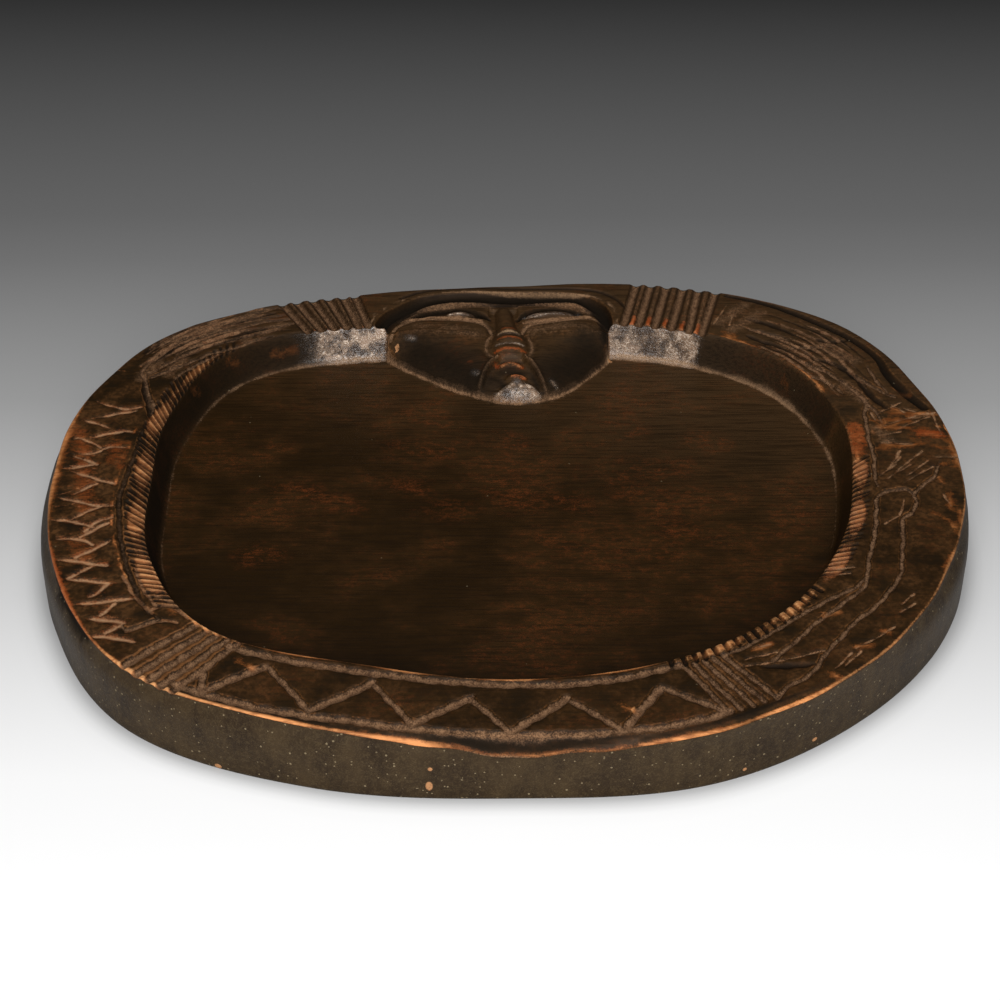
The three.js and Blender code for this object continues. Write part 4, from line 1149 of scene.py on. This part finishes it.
def new_tree(name, inputs):
    """A node tree with a mesh going in and out, and named inputs."""
    tree = bpy.data.node_groups.new(name, "GeometryNodeTree")
    tree.interface.new_socket("Geometry", in_out="INPUT", socket_type="NodeSocketGeometry")
    tree.interface.new_socket("Geometry", in_out="OUTPUT", socket_type="NodeSocketGeometry")
    for label, kind, value in inputs:
        socket = tree.interface.new_socket(label, in_out="INPUT", socket_type=kind)
        if value is not None:
            socket.default_value = value
    return tree, tree.nodes.new("NodeGroupInput").outputs


def finish_tree(tree, geometry, material):
    realized = wire(tree, "GeometryNodeRealizeInstances", {"Geometry": geometry})
    dressed = wire(tree, "GeometryNodeSetMaterial", {"Geometry": realized, "Material": material})
    tree.links.new(dressed, tree.nodes.new("NodeGroupOutput").inputs[0])


def stroke_tree():
    """One stroke family. Each layer keeps the larger of what it holds and what the stroke gives."""
    tree, given = new_tree("stroke", [
        ("Paths", "NodeSocketObject", None), ("Width", "NodeSocketFloat", 4 * MM),
        ("Squareness", "NodeSocketFloat", 2.0), ("Shoulder", "NodeSocketFloat", 1.0),
        ("Top only", "NodeSocketFloat", 1.0),
        *((label, "NodeSocketFloat", 0.0) for label in LAYERS), ("Wood", "NodeSocketMaterial", None),
    ])
    spot = axes(tree, wire(tree, "GeometryNodeInputPosition"))
    flat = wire(tree, "ShaderNodeCombineXYZ", {0: spot[0], 1: spot[1]})
    paths = wire(tree, "GeometryNodeObjectInfo", {"Object": given["Paths"]}, out="Geometry")
    gap = wire(tree, "GeometryNodeProximity", {0: paths, "Sample Position": flat}, out="Distance",
               target_element="EDGES")
    nearest = wire(tree, "GeometryNodeSampleNearest", {"Geometry": paths, "Sample Position": flat},
                   domain="POINT")
    weight = wire(tree, "GeometryNodeSampleIndex",
                  {"Geometry": paths, "Value": layer(tree, "heft"), "Index": nearest},
                  data_type="FLOAT", domain="POINT")
    half = times(tree, times(tree, given["Width"], 0.5), weight)
    aside = maths(tree, "DIVIDE", gap, half, clamp=True)
    section = minus(tree, 1.0, maths(tree, "POWER", aside, given["Squareness"]))
    section = maths(tree, "POWER", section, given["Shoulder"])
    section = times(tree, section, maths(tree, "MINIMUM", weight, 1.0))
    everywhere = minus(tree, 1.0, given["Top only"])
    section = times(tree, section, larger(tree, layer(tree, "top"), everywhere))
    geometry = given["Geometry"]
    for label, name in LAYERS.items():
        held = larger(tree, layer(tree, name), times(tree, section, given[label]))
        geometry = keep(tree, geometry, name, held)
    finish_tree(tree, geometry, given["Wood"])
    return tree


def carving_tree(families, wood):
    """All strokes in turn, and then the carved shape: cut down, with the mask standing in it."""
    tree, given = new_tree("board_carving", [
        ("Board height", "NodeSocketFloat", BOARD_HEIGHT * MM), ("Unevenness", "NodeSocketFloat", 0.4 * MM),
        ("Unevenness scale", "NodeSocketFloat", 45.0), ("Edge softness", "NodeSocketInt", 1),
        ("Crest reach", "NodeSocketInt", 7),
    ])
    stroke = stroke_tree()
    geometry = given["Geometry"]
    for family in families:
        amounts = dict(family["amounts"])
        amounts["Depth"] = amounts.get("Depth", 0) * MM
        geometry = wire(tree, "GeometryNodeGroup", {
            "Geometry": geometry, "Paths": path_object(family["name"], family["paths"]),
            "Width": family["width"] * MM, "Squareness": family["squareness"],
            "Shoulder": family["shoulder"], "Top only": float(family["top_only"]), "Wood": wood, **amounts,
        }, node_tree=stroke)
    position = wire(tree, "GeometryNodeInputPosition")
    spot = axes(tree, position)
    deepest = larger(tree, layer(tree, "cut"), layer(tree, "bed"))
    ceiling = minus(tree, given["Board height"], deepest)
    lowered = maths(tree, "MINIMUM", spot[2], ceiling)
    carved = keep(tree, geometry, "height", larger(tree, lowered, layer(tree, "mask")))
    soft = blurred(tree, layer(tree, "height"), given["Edge softness"])
    place = wire(tree, "ShaderNodeCombineXYZ", {0: spot[0], 1: spot[1], 2: soft})
    moved = wire(tree, "GeometryNodeSetPosition", {"Geometry": carved, "Position": place})
    wide = blurred(tree, layer(tree, "height"), given["Crest reach"])
    proud = minus(tree, layer(tree, "height"), wide)
    marked = keep(tree, moved, "proud", times(tree, proud, layer(tree, "top")))
    noise = wire(tree, "ShaderNodeTexNoise",
                 {"Vector": position, "Scale": given["Unevenness scale"], "Detail": 2.0})
    inward = times(tree, minus(tree, noise, 0.95), given["Unevenness"])
    offset = wire(tree, "ShaderNodeVectorMath", {0: wire(tree, "GeometryNodeInputNormal"), "Scale": inward},
                  operation="SCALE")
    off_the_ground = maths(tree, "GREATER_THAN", spot[2], 0.4 * MM)
    worn = wire(tree, "GeometryNodeSetPosition",
                {"Geometry": marked, "Offset": offset, "Selection": off_the_ground})
    finish_tree(tree, worn, wood)
    return tree


def set_layer(mesh, name, values):
    mesh.attributes.new(name, "FLOAT", "POINT").data.foreach_set("value", np.asarray(values, np.float32))


# How low the painted shade of the dark chip under the near left edge reaches, by angle
WALL_CHIP_SHADE = [(200, 34.6), (203, 32.4), (208, 30.6), (212, 29.6), (215.5, 29.4), (217, 31), (218, 34.6)]
# The far wall's glossy stretches, by angle, on both sides of the mask, how soft their ends are, and how
# glossy they are. Their film is coloured as a painted reflection.
GLOSSY_WALLS = [(57.0, 77.5, 0.5, 0.56), (96.0, 122.5, 4.5, 0.95)]


def starting_layers(mesh, vertices, parts):
    """What each place on the board has before the first stroke."""
    x, y = vertices[:, 0], vertices[:, 1]
    degrees = np.degrees(np.arctan2(y / RIM_DEPTH, x / RIM_LENGTH)) % 360
    top = parts == "top"
    mask = mask_height(x, y)
    above = mask > vertices[:, 2]
    on_top = vertices[:, 2] > 1
    clear = mask_share(x, y) > 1
    glossy = np.zeros(len(vertices))
    for start, stop, soft, amount in GLOSSY_WALLS:
        begun = smooth(start - soft, start + soft, degrees)
        ended = smooth(stop - soft, stop + soft, degrees)
        glossy = np.maximum(glossy, amount * (begun * (1 - ended)))
    set_layer(mesh, "top", np.maximum(top, above & on_top))
    set_layer(mesh, "cut", np.zeros(len(vertices)))
    set_layer(mesh, "bed", mask_bed(x, y) * on_top * MM)
    set_layer(mesh, "mask", np.where(on_top, mask, -1) * MM)
    # Painted light: the mask's upper part is laid as worked wood, lighter as if lit from above
    mask_top_lit = 1.2 * (above & on_top) * smooth(114, 144, y)
    set_layer(mesh, "handled_and_lit", np.maximum(periodic(HANDLED, degrees) * top, mask_top_lit))
    chip_foot = np.interp(degrees, *np.transpose(WALL_CHIP_SHADE))
    # Painted shade on the wall below the chipped edge
    chip_shade = (parts == "side") * smooth(-0.4, 0.3, vertices[:, 2] - chip_foot)
    set_layer(mesh, "gloss", glossy * (parts == "wall") * clear)
    set_layer(mesh, "shade", chip_shade)
    set_layer(mesh, "side", (parts == "side").astype(float))
    for name in ("dust", "bare", "red", "pale"):
        set_layer(mesh, name, np.zeros(len(vertices)))


def carved_board(wood):
    """The carved board as one plain mesh, under the triangle limit."""
    vertices, parts, faces = board_blank()
    mesh = new_mesh("board_blank", vertices, [], faces)
    starting_layers(mesh, vertices, parts)
    mesh.shade_smooth()
    blank = add_object("board_blank", mesh)
    families = border_cuts() + surface_marks()
    carving = blank.modifiers.new("carving", "NODES")
    carving.node_group = carving_tree(families, wood)
    thinning = blank.modifiers.new("thinning", "DECIMATE")
    thinning.ratio = TRIANGLE_LIMIT / sum(len(face) - 2 for face in faces)
    graph = bpy.context.evaluated_depsgraph_get()
    done = bpy.data.meshes.new_from_object(blank.evaluated_get(graph))
    done.name = "carved_board_dressed"
    bpy.data.objects.remove(blank)
    for family in families:
        bpy.data.objects.remove(bpy.data.objects[family["name"]])
    keep_inside(done, cad_box)
    return add_object("carved_board_dressed", done)


def keep_inside(mesh, box):
    """Holds every vertex within the solid's own box."""
    places = np.empty(len(mesh.vertices) * 3, np.float32)
    mesh.vertices.foreach_get("co", places)
    low, high = (np.array(corner) for corner in box)
    held = np.clip(places.reshape(-1, 3), low, high)
    mesh.vertices.foreach_set("co", held.ravel())
    mesh.update()


# Materials

def new_material(name):
    """An empty material, and its node tree."""
    material = bpy.data.materials.new(name)
    material.use_nodes = True
    material.node_tree.nodes.clear()
    return material, material.node_tree


def attribute(tree, name):
    return wire(tree, "ShaderNodeAttribute", attribute_name=name, out="Fac")


def vector(tree, operation, values, out=0):
    return wire(tree, "ShaderNodeVectorMath", values, out=out, operation=operation)


def mapped_noise(tree, coords, stretch, scale, detail, roughness):
    """Noise in the wood, stretched along the grain. The stretch is along X, Y and Z."""
    placed = wire(tree, "ShaderNodeMapping", {"Vector": coords, "Scale": stretch})
    values = {"Vector": placed, "Scale": scale, "Detail": detail, "Roughness": roughness}
    return wire(tree, "ShaderNodeTexNoise", values)


def mixed(tree, share, first, second):
    return wire(tree, "ShaderNodeMix", {0: share, 6: first, 7: second}, out=2, data_type="RGBA")


def specks(tree, coords, scale, size, share):
    """Small round spots at random places: a cell holds one where its own number is under the share."""
    cells = wire(tree, "ShaderNodeTexVoronoi", {"Vector": coords, "Scale": scale}).node
    inside = maths(tree, "LESS_THAN", cells.outputs["Distance"], size)
    number = wire(tree, "ShaderNodeSeparateColor", {0: cells.outputs["Color"]})
    return times(tree, inside, maths(tree, "LESS_THAN", number, share))


def fleck(tree, coords, middle, radii):
    """1 inside an oval round a place on the board, and 0 outside it."""
    place = tuple(in_frame([middle])[0])
    centred = vector(tree, "SUBTRACT", {0: coords, 1: place})
    scaled = vector(tree, "MULTIPLY", {0: centred, 1: tuple(1 / (radius * MM) for radius in radii)})
    reach = vector(tree, "LENGTH", {0: scaled}, out="Value")
    return minus(tree, 1.0, rising(tree, reach, 0.7, 1.0))


def ragged(tree, mark, noise, reach=2.0, soft=0.22):
    """A mark with its edge broken up by noise, as dust and wear break up on rough wood."""
    broken = plus(tree, mark, times(tree, minus(tree, noise, 0.5), reach))
    return times(tree, rising(tree, broken, 0.5 - soft, 0.5 + soft), rising(tree, mark, 0.02, 0.25))


def creases(tree, coords, scale, low, high):
    """1 on the lines of a net of cells, and 0 away from them."""
    values = {"Vector": coords, "Scale": scale}
    edge = wire(tree, "ShaderNodeTexVoronoi", values, out="Distance", feature="DISTANCE_TO_EDGE")
    return minus(tree, 1.0, rising(tree, edge, low, high))


# Pale flecks on the near wall: where each is on the board, and its half sizes
WALL_FLECKS = [
    ((-32.4, -173.9, 7.5), (1.7, 4, 2.8)), ((-31.8, -173.8, 17), (1.1, 4, 1.1)),
    ((127.6, -144.6, 6), (1.3, 3, 1.2)), ((97.1, -160.9, 4.5), (1.0, 3, 1.0)),
    ((-120.4, -156.1, 1.6), (1.8, 3, 1.6)),
]

# The noises in the wood: how each is stretched along X, Y and Z, its scale, detail and roughness
WOOD_NOISES = {
    "grain": ((0.05, 1.0, 1.0), 900.0, 4.0, 0.6),
    "streaks": ((0.45, 1.0, 1.0), 420.0, 5.0, 0.72),
    "blotches": ((0.7, 1.0, 1.0), 34.0, 4.0, 0.6),
    "patches": ((1.0, 1.0, 1.0), 95.0, 3.0, 0.6),
    "grit": ((1.0, 1.0, 1.0), 1500.0, 3.0, 0.65),
    "rubbed": ((1.0, 1.0, 1.0), 420.0, 4.0, 0.68),
    "drips": ((1.0, 1.0, 0.45), 90.0, 5.0, 0.7),
}
WOOD_MARKS = ("dust", "bare", "red", "shade", "gloss", "pale", "proud", "cut", "handled_and_lit", "side")

# The colours of the polished skin, from the deepest to the painted sheen towards the far right
DEEP_SKIN = srgb(34, 20, 3)
BROWN_SKIN = srgb(50, 32, 11)
SHEEN_SKIN = srgb(76, 55, 34)
DARK_GRAIN = srgb(24, 13, 2)
REDDISH_SKIN = srgb(116, 57, 24)
DULL_SKIN = srgb(24, 18, 9)
# Worked wood, where hands rub the border, and painted light on the mask's upper part
WORKED_LOW = srgb(50, 32, 14)
WORKED_HIGH = srgb(84, 55, 29)
SIDE_DARK = srgb(35, 24, 12)
SIDE_LIGHT = srgb(54, 41, 24)
SIDE_WORN = srgb(78, 64, 42)

# The colours of the worn wood, from the painted shade and dirt in the cuts to the brightest edges, with a
# painted highlight where the wood stands proud
CUT_SHADE_AND_DIRT = srgb(26, 15, 6)
CREST_WEAR_AND_HIGHLIGHT = srgb(132, 86, 48)
BARE_DARK = srgb(104, 60, 26)
BARE_BRIGHT = srgb(204, 134, 80)
BARE_HIGHLIGHT = srgb(206, 156, 106)
BARE_GRAIN = srgb(88, 42, 17)
BARE_RED = srgb(146, 54, 15)

# The colours of what lies on the wood, and of its painted shade and the film's painted reflection
DUST_DARK = srgb(78, 53, 35)
DUST_LIGHT = srgb(131, 99, 72)
DUST_PALE = srgb(188, 156, 120)
DEEP_SHADE = srgb(15, 9, 3)
# The film's colours: a painted reflection, silvery, with painted glints on its creases, and dark splits
FILM_DARK = srgb(58, 44, 34)
FILM_PAINTED_SHEEN = srgb(160, 131, 107)
FILM_CREASE_GLINT = srgb(232, 208, 184)
FILM_SPLIT = srgb(48, 36, 28)
SPECK_COLOUR = srgb(150, 134, 104)
FLECK_COLOUR = srgb(160, 114, 76)


def painted_film_sheen(tree, coords):
    """The crinkled old varnish on the far walls and the chin, coloured as a painted reflection: silvery,
    with painted glints on its bright creases.
    """
    sheets = mapped_noise(tree, coords, (1.0, 1.0, 0.7), 120.0, 4.0, 0.6)
    film = mixed(tree, rising(tree, sheets, 0.36, 0.64), FILM_DARK, FILM_PAINTED_SHEEN)
    jitter = wire(tree, "ShaderNodeTexNoise", {"Vector": coords, "Scale": 200.0}, out="Color")
    bent = vector(tree, "ADD", {0: coords, 1: vector(tree, "SCALE", {0: jitter, "Scale": 0.01})})
    crinkle = creases(tree, bent, 360.0, 0.02, 0.13)
    crease_glints = times(tree, crinkle, rising(tree, sheets, 0.4, 0.6))
    film = mixed(tree, times(tree, crease_glints, 0.75), film, FILM_CREASE_GLINT)
    split = times(tree, creases(tree, bent, 170.0, 0.015, 0.075), rising(tree, sheets, 0.62, 0.46))
    return mixed(tree, times(tree, split, 0.85), film, FILM_SPLIT), crinkle


def polished_skin(tree, coords, noise, mark):
    """Dark wood: lighter towards the far right as a painted sheen, reddish in patches, dull where hands rub
    it, and lighter on the mask's upper part as painted light.
    """
    spot = axes(tree, coords)
    skin = mixed(tree, rising(tree, noise["blotches"], 0.35, 0.7), DEEP_SKIN, BROWN_SKIN)
    # Painted sheen: lighter towards the far right and the far side
    far_sheen = rising(tree, plus(tree, spot[1], times(tree, spot[0], 0.35)), 0.0, 0.16)
    skin = mixed(tree, times(tree, far_sheen, 0.55), skin, SHEEN_SKIN)
    skin = mixed(tree, times(tree, rising(tree, noise["grain"], 0.42, 0.66), 0.6), skin, DARK_GRAIN)
    scattered = times(tree, rising(tree, noise["blotches"], 0.45, 0.7), 0.5)
    reddish = times(tree, larger(tree, mark["red"], scattered), rising(tree, noise["streaks"], 0.4, 0.66))
    reddish = times(tree, reddish, rising(tree, noise["fine"], 0.38, 0.6))
    skin = mixed(tree, times(tree, reddish, 0.8), skin, REDDISH_SKIN)
    rubbed_away = times(tree, mark["handled_and_lit"], rising(tree, noise["patches"], 0.5, 0.34))
    skin = mixed(tree, times(tree, rubbed_away, 0.7, clamp=True), skin, DULL_SKIN)
    # Worked wood where handled, which on the mask's upper part is painted light
    worked = times(tree, mark["handled_and_lit"], rising(tree, noise["patches"], 0.36, 0.66))
    worked_wood = mixed(tree, rising(tree, noise["rubbed"], 0.4, 0.62), WORKED_LOW, WORKED_HIGH)
    skin = mixed(tree, worked, skin, worked_wood)
    side_wood = mixed(tree, rising(tree, noise["drips"], 0.3, 0.7), SIDE_DARK, SIDE_LIGHT)
    side_wear = times(tree, rising(tree, noise["fine"], 0.46, 0.62), 0.4)
    return mixed(tree, mark["side"], skin, mixed(tree, side_wear, side_wood, SIDE_WORN))


def worn_wood(tree, colour, noise, mark):
    """Painted shade and dirt in the cuts, crests rubbed brown with a painted highlight, and bare orange
    wood along the edges, with a painted highlight where it stands proud.
    """
    # Painted shade with dirt: the deeper the cut, the darker
    cut_shade_and_dirt = rising(tree, mark["cut"], 0.0, 1.0 * MM)
    colour = mixed(tree, times(tree, cut_shade_and_dirt, 0.6), colour, CUT_SHADE_AND_DIRT)
    # Crests: rubbed wear, and a painted highlight wherever the surface stands proud
    crest_highlight = rising(tree, mark["proud"], 0.04 * MM, 0.5 * MM)
    crest_highlight = times(tree, crest_highlight, plus(tree, mark["handled_and_lit"], 0.25), clamp=True)
    crest_highlight = ragged(tree, times(tree, crest_highlight, 0.7), noise["fine"], 1.4, 0.3)
    colour = mixed(tree, times(tree, crest_highlight, 0.5), colour, CREST_WEAR_AND_HIGHLIGHT)
    broken = plus(tree, times(tree, noise["streaks"], 0.55), times(tree, noise["grit"], 0.45))
    bright = rising(tree, plus(tree, mark["bare"], minus(tree, noise["patches"], 0.5)), 0.5, 1.1)
    bare_wood = mixed(tree, bright, BARE_DARK, BARE_BRIGHT)
    # Painted highlight: bare wood lighter where it stands proud
    high = times(tree, rising(tree, mark["proud"], 0.1 * MM, 0.55 * MM), 0.5)
    bare_wood = mixed(tree, high, bare_wood, BARE_HIGHLIGHT)
    lines = times(tree, rising(tree, noise["grain"], 0.45, 0.62), 0.5)
    bare_wood = mixed(tree, lines, bare_wood, BARE_GRAIN)
    bare_wood = mixed(tree, times(tree, mark["red"], 0.6), bare_wood, BARE_RED)
    return mixed(tree, ragged(tree, mark["bare"], broken), colour, bare_wood)


def dust_and_painted_shade(tree, colour, noise, mark):
    """Dust in the cuts, with painted shade over it in the deepest colour."""
    dusty = ragged(tree, mark["dust"], noise["fine"], 1.2, 0.3)
    dust_colour = mixed(tree, rising(tree, noise["fine"], 0.36, 0.62), DUST_DARK, DUST_LIGHT)
    dust_colour = mixed(tree, mark["pale"], dust_colour, DUST_PALE)
    colour = mixed(tree, times(tree, dusty, 0.88), colour, dust_colour)
    return mixed(tree, times(tree, mark["shade"], 0.93), colour, DEEP_SHADE), dusty


def scattered_spots(tree, coords, colour, noise, mark):
    """Tiny specks, most of them on the outer wall, and the pale flecks."""
    tiny = larger(tree, times(tree, specks(tree, coords, 330.0, 0.16, 0.2), mark["side"]),
                  times(tree, specks(tree, coords, 230.0, 0.09, 0.03), 0.7))
    tiny = larger(tree, tiny, times(tree, specks(tree, coords, 560.0, 0.2, 0.14), mark["side"]))
    colour = mixed(tree, times(tree, tiny, 0.42), colour, SPECK_COLOUR)
    flecks = rising(tree, mark["pale"], 0.55, 0.75)
    for middle, radii in WALL_FLECKS:
        flecks = larger(tree, flecks, fleck(tree, coords, middle, radii))
    return mixed(tree, times(tree, flecks, rising(tree, noise["grit"], 0.2, 0.5)), colour, FLECK_COLOUR)


def surface_relief(tree, noise, mark, crinkle):
    """The finest relief: the grain, the grit, the handled wood's dents and the film's crinkles."""
    relief = plus(tree, times(tree, noise["grain"], 0.5), times(tree, noise["grit"], 0.6))
    relief = plus(tree, relief, times(tree, noise["rubbed"], plus(tree, mark["handled_and_lit"], mark["side"])))
    relief = plus(tree, relief, times(tree, times(tree, crinkle, mark["gloss"]), 1.5))
    return wire(tree, "ShaderNodeBump", {"Height": relief, "Strength": 0.7, "Distance": 0.3 * MM})


def surface_roughness(tree, noise, mark, dusty):
    rough = plus(tree, 0.44, times(tree, larger(tree, dusty, mark["shade"]), 0.4))
    rough = plus(tree, rough, times(tree, noise["grain"], 0.12))
    return minus(tree, rough, times(tree, mark["gloss"], 0.2), clamp=True)


def aged_wood():
    """Dark polished hardwood, worn orange at its edges, with pale dust and painted shade in its cuts, and a
    painted sheen on its film.
    """
    material, tree = new_material("aged_wood")
    coords = wire(tree, "ShaderNodeTexCoord", out="Object")
    noise = {name: mapped_noise(tree, coords, *settings) for name, settings in WOOD_NOISES.items()}
    noise["fine"] = plus(tree, times(tree, noise["rubbed"], 0.4), times(tree, noise["grit"], 0.6))
    mark = {name: attribute(tree, name) for name in WOOD_MARKS}
    colour = worn_wood(tree, polished_skin(tree, coords, noise, mark), noise, mark)
    colour, dusty = dust_and_painted_shade(tree, colour, noise, mark)
    film_sheen_colour, crinkle = painted_film_sheen(tree, coords)
    # Painted reflection: the film's silvery colour and glints where the wood is glossy
    film_sheen_share = times(tree, ragged(tree, mark["gloss"], noise["fine"], 1.0, 0.3), 0.8)
    film_sheen_share = times(tree, film_sheen_share, minus(tree, 1.0, times(tree, dusty, 0.85)))
    colour = mixed(tree, film_sheen_share, colour, film_sheen_colour)
    colour = scattered_spots(tree, coords, colour, noise, mark)
    bump = surface_relief(tree, noise, mark, crinkle)
    shader = wire(tree, "ShaderNodeBsdfPrincipled", {
        "Base Color": colour, "Roughness": surface_roughness(tree, noise, mark, dusty), "Normal": bump,
        "Specular IOR Level": 0.1, "Coat Weight": mark["gloss"], "Coat Roughness": 0.26, "Coat IOR": 1.6,
        "Coat Normal": bump,
    })
    wire(tree, "ShaderNodeOutputMaterial", {"Surface": shader})
    return material


# Where the camera looks, in metres, and how it stands
CAMERA_TARGET = (-0.002 - MIDDLE[0] * MM, -0.0155 - MIDDLE[1] * MM, 0.034)
CAMERA_DISTANCE = 1.0
CAMERA_ELEVATION = 37.0
CAMERA_FOV = 25.7
CAMERA_SHIFT = -0.004

# The painted contact shadow on the floor: how far out from the board's foot, in millimetres, and how much
# of the floor's colour is left
CONTACT_REACH = [-8, 0, 1.6, 3.2, 6.4, 9.6, 16, 26]
CONTACT_SHADE = [0.58, 0.58, 0.65, 0.75, 0.9, 0.98, 1.0, 1.0]
# The floor's own colour, from the near side to the far side
FLOOR_SHADES = [
    (-0.278, 255), (-0.162, 247), (-0.046, 211), (0.115, 158), (0.255, 119), (0.305, 107), (0.604, 56),
]


# How much of what the camera sees of the floor is its own glow, and how wide the floor is, as times
# the board's foot
FLOOR_GLOW = 0.45
FLOOR_SPREAD = 25


def floor_material():
    """A pale floor that darkens towards the far side. What the camera sees of it partly glows."""
    material, tree = new_material("studio_floor")
    depth = axes(tree, wire(tree, "ShaderNodeTexCoord", out="Object"))[1]
    near, far = FLOOR_SHADES[0][0], FLOOR_SHADES[-1][0]
    share = wire(tree, "ShaderNodeMapRange", {"Value": depth, "From Min": near, "From Max": far})
    ramp = tree.nodes.new("ShaderNodeValToRGB")
    tree.links.new(share, ramp.inputs[0])
    for i, (place, level) in enumerate(FLOOR_SHADES):
        position = (place - near) / (far - near)
        stops = ramp.color_ramp.elements
        stop = stops[i] if i < 2 else stops.new(position)
        stop.position = position
        stop.color = srgb(level, level, level)
    seen = wire(tree, "ShaderNodeLightPath").node.outputs
    direct = plus(tree, seen["Is Camera Ray"], seen["Is Glossy Ray"])
    direct = plus(tree, direct, seen["Is Transmission Ray"], clamp=True)
    # Painted shadow: the floor's colour dimmed near the board's foot
    shadowed_floor_colour = vector(tree, "SCALE", {0: ramp.outputs[0], "Scale": attribute(tree, "painted_contact_shadow")})
    matte = wire(tree, "ShaderNodeBsdfDiffuse", {"Color": shadowed_floor_colour})
    glow = wire(tree, "ShaderNodeEmission", {"Color": shadowed_floor_colour, "Strength": 1.0})
    blended = wire(tree, "ShaderNodeMixShader", {0: times(tree, direct, FLOOR_GLOW), 1: matte, 2: glow})
    wire(tree, "ShaderNodeOutputMaterial", {"Surface": blended})
    return material


def floor():
    """A wide disc in rings round the board's foot, with a painted shadow close to it."""
    foot = FLARED[::2]
    along = np.roll(foot, -1, 0) - np.roll(foot, 1, 0)
    outward = np.column_stack([along[:, 1], -along[:, 0]]) / np.linalg.norm(along, axis=1, keepdims=True)
    rings = [foot + outward * reach for reach in CONTACT_REACH] + [foot * FLOOR_SPREAD]
    count = len(foot)
    places = np.column_stack([np.concatenate(rings), np.zeros(count * len(rings))])
    faces = [tuple(range(count))]
    for i in range(len(rings) - 1):
        faces += ring_faces(i * count, count, (i + 1) * count, count)[0][:, ::-1].tolist()
    mesh = new_mesh("studio_floor", places, [], faces)
    set_layer(mesh, "painted_contact_shadow", np.repeat(CONTACT_SHADE + [1.0], count))
    mesh.materials.append(floor_material())
    add_object("studio_floor", mesh)


def aim(piece, place, target):
    piece.location = place
    piece.rotation_euler = (Vector(target) - Vector(place)).to_track_quat("-Z", "Y").to_euler()


def lamp(name, place, target, width, height, power):
    data = bpy.data.lights.new(name, "AREA")
    data.shape = "RECTANGLE"
    data.size = width
    data.size_y = height
    data.energy = power
    aim(add_object(name, data), place, target)


# The lamps: where each stands, what it faces, its width and height, and its power in watts
LAMPS = {
    "front_softbox": ((0.0, -1.5, 0.85), (0, 0.03, 0.02), 1.1, 0.9, 26),
    "low_front_card": ((0.0, -1.3, 0.32), (0, 0.1, 0.03), 0.8, 0.4, 5),
    "overhead_softbox": ((0.0, -0.1, 1.6), (0, 0, 0), 1.4, 1.0, 13),
}
AIR_COLOUR = (0.5, 0.5, 0.5, 1)
AIR_STRENGTH = 0.1


def lights():
    for name, settings in LAMPS.items():
        lamp(name, *settings)
    world = bpy.data.worlds.new("studio_air")
    world.use_nodes = True
    air = world.node_tree.nodes["Background"].inputs
    air["Color"].default_value = AIR_COLOUR
    air["Strength"].default_value = AIR_STRENGTH
    bpy.context.scene.world = world


def camera():
    angle = math.radians(CAMERA_ELEVATION)
    back = Vector((0, -math.cos(angle), math.sin(angle)))
    data = bpy.data.cameras.new("camera")
    data.sensor_width = 36
    data.lens = data.sensor_width / 2 / math.tan(math.radians(CAMERA_FOV / 2))
    data.shift_x = CAMERA_SHIFT
    data.clip_start = 0.01
    piece = add_object("camera", data)
    piece.location = Vector(CAMERA_TARGET) + back * CAMERA_DISTANCE
    piece.rotation_euler = (-back).to_track_quat("-Z", "Y").to_euler()
    bpy.context.scene.camera = piece


bpy.context.scene.view_settings.view_transform = "Standard"
camera()
lights()
floor()

board = carved_board(aged_wood())
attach(board, "root")
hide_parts("carved_board")
